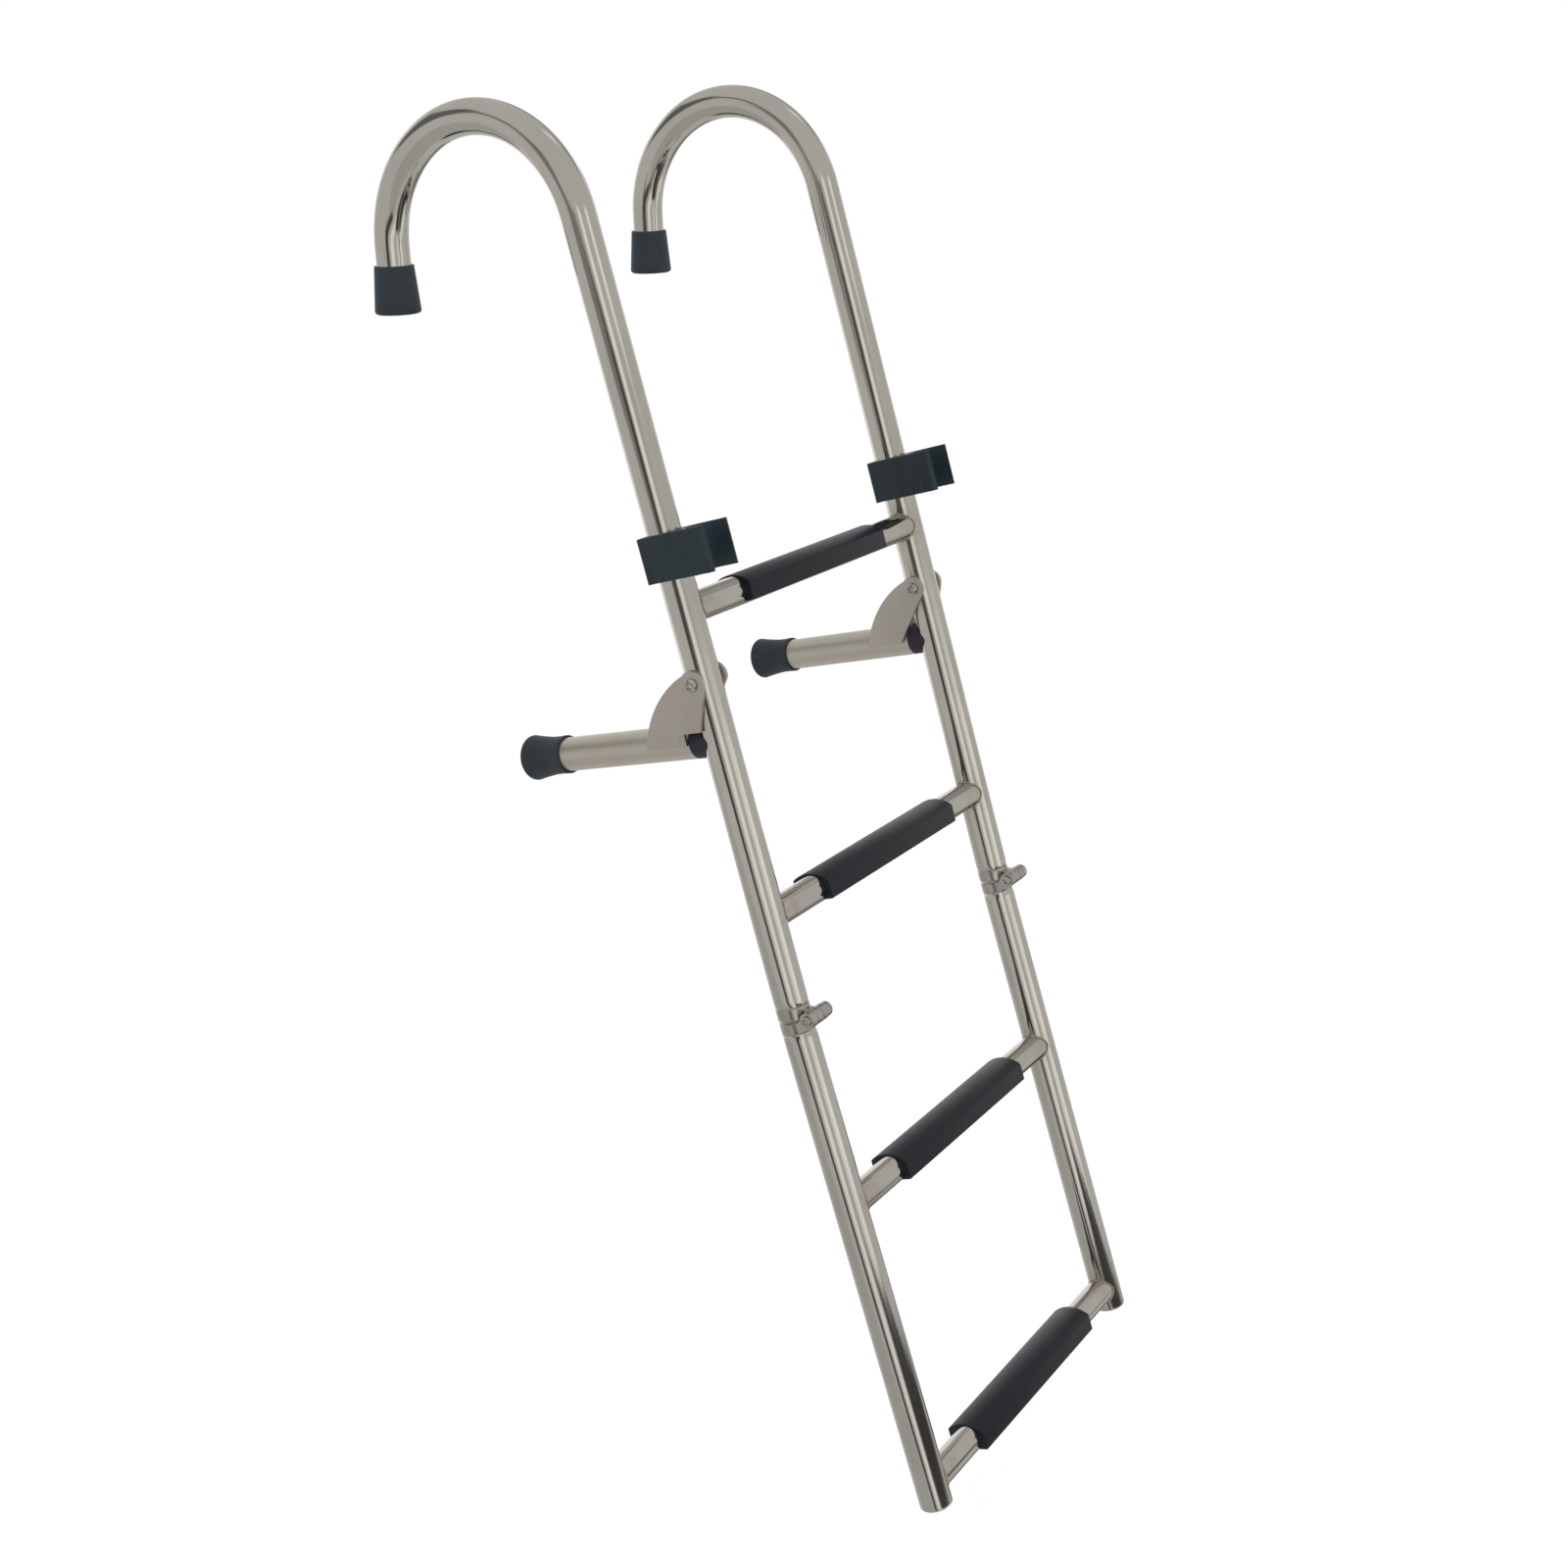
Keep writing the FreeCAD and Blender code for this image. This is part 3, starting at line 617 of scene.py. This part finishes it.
def clip_half(sign):
    """Plan of one half of a clip, drawn from the middle of its front wall."""
    in_x = CLIP_HALF_WIDTH - CLIP_CORNER
    front_y = CLIP_FRONT - CLIP_CORNER
    rear_y = CLIP_CORNER - CLIP_REAR
    rib_x = CLIP_HALF_WIDTH - RIB_INSET
    pitch = (CLIP_FRONT + CLIP_REAR - 2 * CLIP_CORNER) / (RIBS - 1)
    rib_places = [front_y - rib * pitch for rib in range(RIBS)]
    outline = [(0, CLIP_FRONT)]
    for u, v in arc(in_x, front_y, CLIP_CORNER, 90, 0):
        if math.hypot(u - rib_x, v - rib_places[0]) > RIB_RADIUS:
            outline.append((u, v))
    for y in rib_places:
        for u, v in arc(rib_x, y, RIB_RADIUS, RIB_TURN, -RIB_TURN, 12):
            beyond = max(v - front_y, rear_y - v, 0)
            wall = in_x + math.sqrt(CLIP_CORNER ** 2 - min(beyond, CLIP_CORNER) ** 2)
            if u > wall:
                outline.append((u, v))
    for u, v in arc(in_x, rear_y, CLIP_CORNER, 0, -90, 12):
        if math.hypot(u - rib_x, v - rib_places[-1]) > RIB_RADIUS and u > CLIP_MOUTH + CLIP_LIP:
            outline.append((u, v))
    outline.append((CLIP_MOUTH, outline[-1][1] - CLIP_LIP))
    outline += arc(0, -2 * PIN_OFFSET, CLIP_MOUTH, 0, 90, 20)
    outline += arc(0, 0, CLIP_BORE, -90, 90, 36)
    return [(sign * u, v) for u, v in outline]


clip_plastic = moulded("clip_plastic", CLIP_PLASTIC, 0.34, 1200.0, 0.04 * MM)
for side, x in SIDES.items():
    height = middle("rail_clip_" + side).z
    form = slab([clip_half(1), clip_half(-1)], height - CLIP_HEIGHT / 2, height + CLIP_HEIGHT / 2, CLIP_EDGE)
    fit_piece("clip_block_" + side, form, LADDER @ Matrix.Translation((x, 0, 0)), "upper_frame",
              clip_plastic, ["rail_clip_" + side], crease=30)

# Step tubes
# Seven-eighths stainless tube, coped to the rails and polished. The belt ran round the tube, so its
# lines cross the reflections.
STEP_R = 11.1 * MM
STEP_SIDES = 96
STEP_INTO_RAIL = 8 * MM
# Turns a form that rises along Z so that it points to +X, the right
TO_RIGHT = Matrix.Rotation(math.radians(90), 4, "Y")


def step_height(number, placed):
    """Height of a step's tube in the frame of its half."""
    return middle("step_%d_tube" % number, placed).z


step_steel = polished("step_steel", 0.08, (1400, 90, 90))
step_end = RAIL_X - RAIL_R + STEP_INTO_RAIL
step_profile = [(-step_end, 0), (-step_end, STEP_R), (step_end, STEP_R), (step_end, 0)]
for body, (placed, numbers) in HALVES.items():
    for number in numbers:
        seated = placed @ Matrix.Translation((0, 0, step_height(number, placed))) @ TO_RIGHT
        fit_piece("step_%d_bar" % number, turned(step_profile, STEP_SIDES), seated, body,
                  step_steel, ["step_%d_tube" % number])

# Welds at the steps
# A fine bead run round each coped end by hand, its ripples close together, wire-brushed but left with a
# little brown in the toes.
RIPPLE_SPACING = 0.6 * MM
RIPPLE_RADIUS = 0.85 * MM
RIPPLE_SMALLEST = (0.82, 0.82, 0.70)
RIPPLE_LARGEST = (1.08, 1.08, 0.85)
BEAD_SEED = 7
BEAD_POINTS = 96
BEAD_LIFT = 0.2 * MM


def bead_path(x, z):
    """Closed line where a step's end meets the face of the rail."""
    reach = STEP_R + BEAD_LIFT
    line = []
    for index in range(BEAD_POINTS):
        turn = 2 * math.pi * index / BEAD_POINTS
        y = reach * math.cos(turn)
        inwards = math.sqrt((RAIL_R + BEAD_LIFT) ** 2 - y * y)
        line.append(Vector((x - math.copysign(inwards, x), y, z + reach * math.sin(turn))))
    return line


def ripple_tree():
    """Geometry Nodes that lay one weld ripple after another along the lines they are given."""
    tree = bpy.data.node_groups.new("weld_bead", "GeometryNodeTree")
    face = tree.interface
    face.new_socket("Geometry", in_out="INPUT", socket_type="NodeSocketGeometry")
    face.new_socket("Spacing", in_out="INPUT", socket_type="NodeSocketFloat")
    face.new_socket("Radius", in_out="INPUT", socket_type="NodeSocketFloat")
    face.new_socket("Seed", in_out="INPUT", socket_type="NodeSocketInt")
    face.new_socket("Material", in_out="INPUT", socket_type="NodeSocketMaterial")
    face.new_socket("Geometry", in_out="OUTPUT", socket_type="NodeSocketGeometry")
    given = tree.nodes.new("NodeGroupInput").outputs
    line = tree.nodes.new("GeometryNodeMeshToCurve")
    spots = tree.nodes.new("GeometryNodeCurveToPoints")
    spots.mode = "LENGTH"
    ripple = tree.nodes.new("GeometryNodeMeshUVSphere")
    ripple.inputs["Segments"].default_value = 10
    ripple.inputs["Rings"].default_value = 6
    size = tree.nodes.new("FunctionNodeRandomValue")
    size.data_type = "FLOAT_VECTOR"
    size.inputs["Min"].default_value = RIPPLE_SMALLEST
    size.inputs["Max"].default_value = RIPPLE_LARGEST
    laid = tree.nodes.new("GeometryNodeInstanceOnPoints")
    real = tree.nodes.new("GeometryNodeRealizeInstances")
    smooth = tree.nodes.new("GeometryNodeSetShadeSmooth")
    dressed = tree.nodes.new("GeometryNodeSetMaterial")
    result = tree.nodes.new("NodeGroupOutput")
    tree.links.new(given["Geometry"], line.inputs["Mesh"])
    tree.links.new(line.outputs["Curve"], spots.inputs["Curve"])
    tree.links.new(given["Spacing"], spots.inputs["Length"])
    tree.links.new(given["Radius"], ripple.inputs["Radius"])
    tree.links.new(given["Seed"], size.inputs["Seed"])
    tree.links.new(spots.outputs["Points"], laid.inputs["Points"])
    tree.links.new(spots.outputs["Rotation"], laid.inputs["Rotation"])
    tree.links.new(ripple.outputs["Mesh"], laid.inputs["Instance"])
    tree.links.new(size.outputs["Value"], laid.inputs["Scale"])
    tree.links.new(laid.outputs["Instances"], smooth.inputs["Geometry"])
    tree.links.new(smooth.outputs["Geometry"], real.inputs["Geometry"])
    tree.links.new(real.outputs["Geometry"], dressed.inputs["Geometry"])
    tree.links.new(given["Material"], dressed.inputs["Material"])
    tree.links.new(dressed.outputs["Geometry"], result.inputs["Geometry"])
    return tree


def weld_metal():
    """Wire-brushed weld: duller than the tube, with straw and brown in patches."""
    material, shader, place = new_material("weld_metal")
    patches = noise(place, 420.0, 3.0)
    feed(shader, "Base Color", patches.ramp(0.3, 0.7).tint((0.40, 0.35, 0.29, 1), (0.57, 0.54, 0.49, 1)))
    feed(shader, "Metallic", 1.0)
    feed(shader, "Roughness", 0.30 + patches * 0.2)
    feed(shader, "Normal", bumped(noise(place, 2400.0), 0.03 * MM))
    return material


def lay_beads(name, lines, body):
    """One mesh of weld beads for a body, from closed lines in the row frame."""
    verts = [tuple(point) for line in lines for point in line]
    edges = []
    first = 0
    for line in lines:
        for index in range(len(line)):
            edges.append((first + index, first + (index + 1) % len(line)))
        first += len(line)
    mesh = bpy.data.meshes.new(name + "_line")
    mesh.from_pydata(verts, edges, [])
    piece = bpy.data.objects.new(name, mesh)
    scene.collection.objects.link(piece)
    bead = piece.modifiers.new("bead", "NODES")
    bead.node_group = bead_tree
    values = {
        "Spacing": RIPPLE_SPACING,
        "Radius": RIPPLE_RADIUS,
        "Seed": BEAD_SEED,
        "Material": bead_metal,
    }
    for item in bead_tree.interface.items_tree:
        if item.in_out == "INPUT" and item.name in values:
            bead[item.identifier] = values[item.name]
    evaluated = piece.evaluated_get(bpy.context.evaluated_depsgraph_get())
    laid = bpy.data.meshes.new_from_object(evaluated)
    piece.modifiers.clear()
    piece.data = laid
    laid.name = name
    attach(piece, body)


bead_tree = ripple_tree()
bead_metal = weld_metal()
for body, (placed, numbers) in HALVES.items():
    lines = []
    for number in numbers:
        for x in SIDES.values():
            path = bead_path(x, step_height(number, placed))
            lines.append([placed @ point for point in path])
    lay_beads("step_welds_" + body, lines, body)

# Treads
# Moulded plastic sleeves with an arched standing face, split below and snapped over the step tubes. The
# front edge is drawn a little lower than the back one.
TREAD_HALF_LENGTH = 94 * MM
TREAD_FRONT = (-15.5 * MM, 5.6 * MM)
TREAD_CROWN = (0.0, 12.1 * MM)
TREAD_BACK = (17.0 * MM, 7.5 * MM)
TREAD_SKIRT = 8.5 * MM
TREAD_TOP_EASE = 1.1 * MM
TREAD_LIP_EASE = 1.5 * MM
TREAD_BORE = 11.2 * MM
TREAD_EDGE = 0.6 * MM
# The edge of the bore stays sharp: within this distance of the axis, rims aren't rounded
TREAD_SHARP = TREAD_BORE * 1.02
TREAD_COLOUR = (0.005, 0.008, 0.012, 1)
# Turns an outline drawn in Y and Z, with its length along X
ALONG_X = Matrix(((0, 0, 1, 0), (1, 0, 0, 0), (0, 1, 0, 0), (0, 0, 0, 1)))


def through(first, between, last, steps=24):
    """Points on the circle through three points, from the first to the last."""
    a, b, c = [complex(*point) for point in (first, between, last)]
    w = (c - a) / (b - a)
    centre = (b - a) * (w - abs(w) ** 2) / (2j * w.imag) + a
    start = math.atan2((a - centre).imag, (a - centre).real)
    halfway = math.atan2((b - centre).imag, (b - centre).real)
    end = math.atan2((c - centre).imag, (c - centre).real)
    while abs(halfway - start) > math.pi:
        halfway -= math.copysign(2 * math.pi, halfway - start)
    while abs(end - halfway) > math.pi:
        end -= math.copysign(2 * math.pi, end - halfway)
    radius = abs(a - centre)
    return arc(centre.real, centre.imag, radius, math.degrees(start), math.degrees(end), steps)


def eased(before, corner, after, reach, steps=5):
    """Points that round a corner, from so far before it to so far after it."""
    corner = Vector(corner)
    start = corner + (Vector(before) - corner).normalized() * reach
    end = corner + (Vector(after) - corner).normalized() * reach
    points = []
    for step in range(steps + 1):
        share = step / steps
        point = start.lerp(corner, share).lerp(corner.lerp(end, share), share)
        points.append((point.x, point.y))
    return points


def tread_outline():
    """Section of a tread, round its standing face and back round the bore."""
    split = math.degrees(math.asin(TREAD_SKIRT / TREAD_BORE))
    split_y = TREAD_BORE * math.cos(math.radians(split))
    front_low = (TREAD_FRONT[0], -TREAD_SKIRT)
    back_low = (TREAD_BACK[0], -TREAD_SKIRT)
    face = through(TREAD_FRONT, TREAD_CROWN, TREAD_BACK, 30)
    face_start = TREAD_FRONT[0] + TREAD_TOP_EASE
    face_end = TREAD_BACK[0] - TREAD_TOP_EASE
    outline = eased(front_low, face[0], face[1], TREAD_TOP_EASE)
    outline += [point for point in face if face_start < point[0] < face_end]
    outline += eased(face[-2], face[-1], back_low, TREAD_TOP_EASE)
    outline += eased(TREAD_BACK, back_low, (split_y, -TREAD_SKIRT), TREAD_LIP_EASE)
    outline += arc(0, 0, TREAD_BORE, -split, 180 + split, 40)
    outline += eased((-split_y, -TREAD_SKIRT), front_low, TREAD_FRONT, TREAD_LIP_EASE)
    return outline


tread_plastic = moulded("tread_plastic", TREAD_COLOUR, 0.36, 900.0, 0.06 * MM, specular=0.36)
for body, (placed, numbers) in HALVES.items():
    for number in numbers:
        form = slab([tread_outline()], -TREAD_HALF_LENGTH, TREAD_HALF_LENGTH, TREAD_EDGE, TREAD_SHARP)
        seated = placed @ Matrix.Translation((0, 0, step_height(number, placed))) @ ALONG_X
        fit_piece("step_%d_pad" % number, form, seated, body, tread_plastic,
                  ["step_%d_tread" % number], crease=30)

# Hinge castings
# Two stainless castings in each rail, with a spigot inside the tube, a collar flush with it and knuckles
# behind. They are tumbled, not polished, so their edges are soft and their faces dull.
CAST_STEP = 0.42 * MM
CAST_SEAM = 1e-6
TUMBLE_PASSES = 3


def tumbled(node):
    """Copy of a casting's solid with the soft edges that tumbling leaves."""
    form = bmesh.new()
    form.from_mesh(frame["nodes"][node].data)
    bmesh.ops.remove_doubles(form, verts=form.verts, dist=CAST_SEAM)
    mesh = bpy.data.meshes.new(node + "_blank")
    form.to_mesh(mesh)
    form.free()
    blank = bpy.data.objects.new(node + "_blank", mesh)
    scene.collection.objects.link(blank)
    skin = blank.modifiers.new("skin", "REMESH")
    skin.mode = "VOXEL"
    skin.voxel_size = CAST_STEP
    rub = blank.modifiers.new("rub", "SMOOTH")
    rub.factor = 0.5
    rub.iterations = TUMBLE_PASSES
    evaluated = blank.evaluated_get(bpy.context.evaluated_depsgraph_get())
    soft = bpy.data.meshes.new_from_object(evaluated)
    bpy.data.objects.remove(blank)
    form = bmesh.new()
    form.from_mesh(soft)
    return form


def cast_steel():
    """Tumbled casting: an orange-peel skin, dull grey, darker in random patches."""
    material, shader, place = new_material("cast_steel")
    skin = noise(place, 700.0, 3.0)
    patches = noise(place, 90.0, 2.0)
    feed(shader, "Base Color", patches.ramp(0.3, 0.7).tint((0.45, 0.42, 0.375, 1), (0.55, 0.52, 0.475, 1)))
    feed(shader, "Metallic", 1.0)
    feed(shader, "Roughness", 0.19 + patches * 0.10)
    feed(shader, "Normal", bumped(skin, 0.06 * MM, 0.8))
    return material


casting = cast_steel()
for side in SIDES:
    for half, body in (("upper", "upper_frame"), ("lower", "lower_frame")):
        node = "hinge_%s_%s" % (half, side)
        fit_piece("casting_%s_%s" % (half, side), tumbled(node), Matrix.Identity(4), body,
                  casting, [node], crease=60)

# Hinge pins
# A stainless pin through the knuckles, with a low head that has a hexagon socket at its left end and a
# round cap nut at its right end.
PIN_RADIUS = 3 * MM
PIN_HEAD_RADIUS = 4.2 * MM
PIN_HEAD_HEIGHT = 2 * MM
PIN_HEAD_EDGE = 0.7 * MM
PIN_NUT_RADIUS = 5.8 * MM
PIN_NUT_LENGTH = 6.5 * MM
PIN_NUT_CHAMFER = 0.3 * MM
SOCKET_FLATS = 2.2 * MM
SOCKET_DEPTH = 1.6 * MM
SOCKET_CHAMFER = 0.15 * MM
# Past the corners of a socket, so that its flats alone set its shape
SOCKET_REACH = SOCKET_FLATS * 2
NUT_DOME = 2 * MM
# Turns a form that rises along Z so that it points to -X, the left
TO_LEFT = Matrix.Rotation(math.radians(-90), 4, "Y")


def bright_steel():
    """Turned fastener: bright, with the lathe's fine rings and a little grime in random patches."""
    material, shader, place = new_material("bright_steel")
    grime = noise(place, 260.0, 2.0)
    feed(shader, "Base Color", grime.ramp(0.25, 0.7).tint((0.40, 0.375, 0.35, 1), (0.60, 0.585, 0.56, 1)))
    feed(shader, "Metallic", 1.0)
    feed(shader, "Roughness", 0.16 + grime * 0.12)
    feed(shader, "Normal", bumped(noise(stretched(place, 3000, 60, 60), 1.0), 0.01 * MM))
    return material


def pin_head(seat):
    """Profile of a pin's head on its seat, from the middle of the socket out to the rim."""
    top = seat + PIN_HEAD_HEIGHT
    profile = [(top - SOCKET_DEPTH, 0), (top - SOCKET_DEPTH, SOCKET_REACH, SOCKET_FLATS)]
    profile.append((top - SOCKET_CHAMFER, SOCKET_REACH, SOCKET_FLATS))
    profile.append((top, SOCKET_REACH, SOCKET_FLATS + SOCKET_CHAMFER))
    profile.append((top, PIN_HEAD_RADIUS - PIN_HEAD_EDGE))
    profile += rim(top - PIN_HEAD_EDGE, PIN_HEAD_RADIUS - PIN_HEAD_EDGE, PIN_HEAD_EDGE, 75, 0, 5)
    return profile


bright = bright_steel()
for side, x in SIDES.items():
    low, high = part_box("hinge_pin_" + side)
    head_seat = x - low.x - PIN_HEAD_HEIGHT
    nut_end = x - high.x
    nut_seat = nut_end + PIN_NUT_LENGTH
    profile = pin_head(head_seat)
    profile += [(head_seat, PIN_HEAD_RADIUS), (head_seat, PIN_RADIUS)]
    profile += [(nut_seat, PIN_RADIUS), (nut_seat, PIN_NUT_RADIUS - PIN_NUT_CHAMFER)]
    profile += [(nut_seat - PIN_NUT_CHAMFER, PIN_NUT_RADIUS)]
    profile += rim(nut_end + NUT_DOME, PIN_NUT_RADIUS - NUT_DOME, NUT_DOME, 0, -90)
    profile.append((nut_end, 0))
    placed = LADDER @ Matrix.Translation((x, -PIN_OFFSET, 0)) @ TO_LEFT
    fit_piece("pin_" + side, turned(profile), placed, "upper_frame", bright,
              ["hinge_pin_" + side])

# Standoff tubes
# Lengths of the rail's own tube, left satin from the mill. Their inner ends are plugged by the saddles,
# their outer ends are covered by the rubber feet.
SATIN = (0.66, 0.62, 0.535, 1)


def satin(name, colour, grain, roughness):
    """Satin stainless: dull, with short drawn lines and broad faint stains."""
    material, shader, place = new_material(name)
    stains = noise(place, 26.0, 3.0)
    lines = noise(stretched(place, *grain), 1.0, 3.0)
    stain_colour = (colour[0], colour[1] * 0.95, colour[2] * 0.93, 1)
    feed(shader, "Base Color", stains.ramp(0.35, 0.75).tint(colour, stain_colour))
    feed(shader, "Metallic", 1.0)
    feed(shader, "Roughness", roughness + lines * 0.1)
    feed(shader, "Normal", bumped(lines, 0.03 * MM, 0.7))
    return material


def dress(node, material):
    """Give a CAD node's own mesh a material."""
    mesh = frame["nodes"][node].data
    mesh.materials.clear()
    mesh.materials.append(material)


satin_tube = satin("satin_tube", SATIN, (700, 40, 700), 0.36)
for side in SIDES:
    dress("standoff_tube_" + side, satin_tube)

# Standoff plates
# Cut from stainless sheet, two to a standoff, welded to the sides of its tube and bored for the pivot
# bolt. The outer one is notched at its heel, where a rivet holds the saddle.
STANDOFF_RISE = math.radians(2)
STANDOFF_DROP = 43.5 * MM
PLATE_TOP_RADIUS = 10 * MM
PLATE_REACH = 54.5 * MM
PLATE_BULGE = (32 * MM, -8 * MM)
PLATE_FRONT_ANGLE = 48
PLATE_REAR_ANGLE = 195
PLATE_COLOUR = (0.59, 0.56, 0.50, 1)
NOTCH_Y = 17.5 * MM
NOTCH_HEIGHT = 9 * MM
OUTER_HEEL = 2 * MM
INNER_HEEL = 22 * MM
PLATE_EDGE = 0.35 * MM
RIVET_RADIUS = 2.3 * MM
RIVET_HEIGHT = 1.3 * MM
RIVET_SUNK = 0.5 * MM
RIVET_SIDES = 32
RIVET_PLACE = (20.5 * MM, -38.0 * MM)


def plate_outline(heel):
    """Side view of a plate about its pivot, from the rear of its top to the heel."""
    outline = arc(0, 0, PLATE_TOP_RADIUS, PLATE_REAR_ANGLE, PLATE_FRONT_ANGLE, 20)
    outline += through(outline[-1], PLATE_BULGE, (PLATE_REACH, -STANDOFF_DROP))[1:]
    return outline + heel


def domed(seat, height, radius, angles):
    """Profile points on a low dome over a seat, at angles in degrees above its rim."""
    points = []
    for angle in angles:
        turn = math.radians(angle)
        points.append((seat + height * math.sin(turn), radius * math.cos(turn)))
    return points


satin_plate = satin("satin_plate", PLATE_COLOUR, (60, 500, 60), 0.40)
heels = {
    "outer": [
        (NOTCH_Y, -STANDOFF_DROP),
        (NOTCH_Y, NOTCH_HEIGHT - STANDOFF_DROP),
        (OUTER_HEEL, NOTCH_HEIGHT - STANDOFF_DROP),
    ],
    "inner": [(INNER_HEEL, -STANDOFF_DROP)],
}
rivet_profile = [(-RIVET_SUNK, 0), (-RIVET_SUNK, RIVET_RADIUS), (0, RIVET_RADIUS)]
rivet_profile += domed(0, RIVET_HEIGHT, RIVET_RADIUS, range(15, 90, 15))
rivet_profile.append((RIVET_HEIGHT, 0))
pivots = {}
for side, x in SIDES.items():
    pivots[side] = LADDER.inverted() @ Vector(joints["standoff_fold_" + side]["pos_m"])
    raised = LADDER @ Matrix.Translation(pivots[side]) @ Matrix.Rotation(STANDOFF_RISE, 4, "X")
    for which, heel in heels.items():
        node = "standoff_%s_plate_%s" % (which, side)
        low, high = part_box(node)
        form = slab([plate_outline(heel)], low.x - x, high.x - x, PLATE_EDGE)
        fit_piece("bracket_%s_%s" % (which, side), form, raised @ ALONG_X, "standoff_" + side,
                  satin_plate, [node])
    low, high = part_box("standoff_outer_plate_" + side)
    outside = low.x - x if x < 0 else high.x - x
    outward = TO_LEFT if x < 0 else TO_RIGHT
    placed = raised @ Matrix.Translation((outside, *RIVET_PLACE)) @ outward
    fit_piece("saddle_rivet_" + side, turned(rivet_profile, RIVET_SIDES), placed, "standoff_" + side,
              bright)

# Standoff saddles
# Moulded plugs in the inner ends of the standoff tubes, hollowed to rest against the front of the rail
# without marking it.
SADDLE_PLASTIC = (0.020, 0.017, 0.026, 1)
saddle_plastic = moulded("saddle_plastic", SADDLE_PLASTIC, 0.45, 1100.0, 0.04 * MM)
for side in SIDES:
    dress("standoff_saddle_" + side, saddle_plastic)

# Standoff feet
# Rubber ferrules over the outer ends of the standoffs, with a thick rim, a straight neck and a flared
# end that rests on the hull.
FOOT_RIM = 14.4 * MM
FOOT_RIM_WIDTH = 4 * MM
FOOT_RIM_EASE = 0.5 * MM
FOOT_RIM_STEP = 1 * MM
FOOT_NECK = 14.2 * MM
FOOT_NECK_END = 13 * MM
FOOT_END = 17.1 * MM
FOOT_EDGE = 3 * MM
FOOT_LENGTH = 36.5 * MM
FOOT_BOTTOM = 5 * MM
FOOT_FLARE_SAG = 0.3 * MM
FOOT_SEAMS = (0, 180)


def foot_profile():
    """From the bottom of the foot's bore, round its rim and down its neck to the face on the hull."""
    rim_end = FOOT_RIM_WIDTH - FOOT_LENGTH
    flare_start = FOOT_NECK_END - FOOT_LENGTH
    between = ((flare_start - FOOT_EDGE) / 2, (FOOT_NECK + FOOT_END) / 2 - FOOT_FLARE_SAG)
    profile = [(-FOOT_BOTTOM, 0), (-FOOT_BOTTOM, TIP_BORE), (-FOOT_LENGTH, TIP_BORE)]
    profile += [(-FOOT_LENGTH, FOOT_RIM - FOOT_RIM_EASE), (FOOT_RIM_EASE - FOOT_LENGTH, FOOT_RIM)]
    profile += [(rim_end, FOOT_RIM), (rim_end + FOOT_RIM_STEP, FOOT_NECK)]
    profile += through((flare_start, FOOT_NECK), between, (-FOOT_EDGE, FOOT_END), 10)
    profile += rim(-FOOT_EDGE, FOOT_END - FOOT_EDGE, FOOT_EDGE, 8, 90)
    profile.append((0, 0))
    return profile


mounts = {mount["name"]: mount for mount in frame["record"]["mounts"]}
for side in SIDES:
    mount = mounts["hull_rest_" + side]
    outward = Vector(mount["axis"]).normalized().to_track_quat("Z", "Y").to_matrix().to_4x4()
    placed = Matrix.Translation(mount["pos_m"]) @ outward
    fit_piece("hull_foot_" + side, seamed(turned(foot_profile()), FOOT_SEAMS), placed, "standoff_" + side,
              rubber, ["standoff_foot_" + side])

# Pivot bolts and nuts
# A round-headed bolt with a hexagon socket through both plates and the rail, and an acorn nut on its
# far end. Heads are on the same side of both rails.
HEAD_RADIUS = 5 * MM
HEAD_HEIGHT = 3.2 * MM
# Half widths of the bolt's socket at its bottom and at its mouth
BOLT_SOCKET = SOCKET_FLATS * 1.1
BOLT_SOCKET_MOUTH = SOCKET_FLATS * 1.15
NUT_FLATS = 5 * MM
NUT_CORNERS = NUT_FLATS / math.cos(math.radians(30))
NUT_HEIGHT = 5 * MM
NUT_CHAMFER = 0.5 * MM
DOME_RADIUS = 4.6 * MM
for side, x in SIDES.items():
    at_pivot = LADDER @ Matrix.Translation((x, 0, pivots[side].z))
    low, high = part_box("pivot_bolt_" + side)
    top = x - low.x
    seat = top - HEAD_HEIGHT
    far_end = x - high.x
    profile = [(top - SOCKET_DEPTH, 0), (top - SOCKET_DEPTH, SOCKET_REACH, BOLT_SOCKET)]
    profile += [(top, SOCKET_REACH, BOLT_SOCKET_MOUTH)]
    profile += domed(seat, HEAD_HEIGHT, HEAD_RADIUS, range(56, 0, -8))
    profile += [(seat, HEAD_RADIUS), (seat, PIN_RADIUS), (far_end, PIN_RADIUS), (far_end, 0)]
    fit_piece("bolt_" + side, turned(profile), at_pivot @ TO_LEFT, "upper_frame",
              bright, ["pivot_bolt_" + side])
    low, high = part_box("pivot_nut_" + side)
    seat = low.x - x
    top = seat + NUT_HEIGHT
    profile = [(seat, 0), (seat, NUT_CORNERS - NUT_CHAMFER, NUT_FLATS)]
    profile += [(seat + NUT_CHAMFER, NUT_CORNERS, NUT_FLATS)]
    profile += [(top - NUT_CHAMFER, NUT_CORNERS, NUT_FLATS)]
    profile += [(top, NUT_CORNERS - NUT_CHAMFER, NUT_FLATS), (top, DOME_RADIUS)]
    profile += rim(top, 0, DOME_RADIUS, 0, 90, 10)[1:-1]
    profile.append((top + DOME_RADIUS, 0))
    fit_piece("acorn_nut_" + side, turned(profile), at_pivot @ TO_RIGHT, "upper_frame",
              bright, ["pivot_nut_" + side])
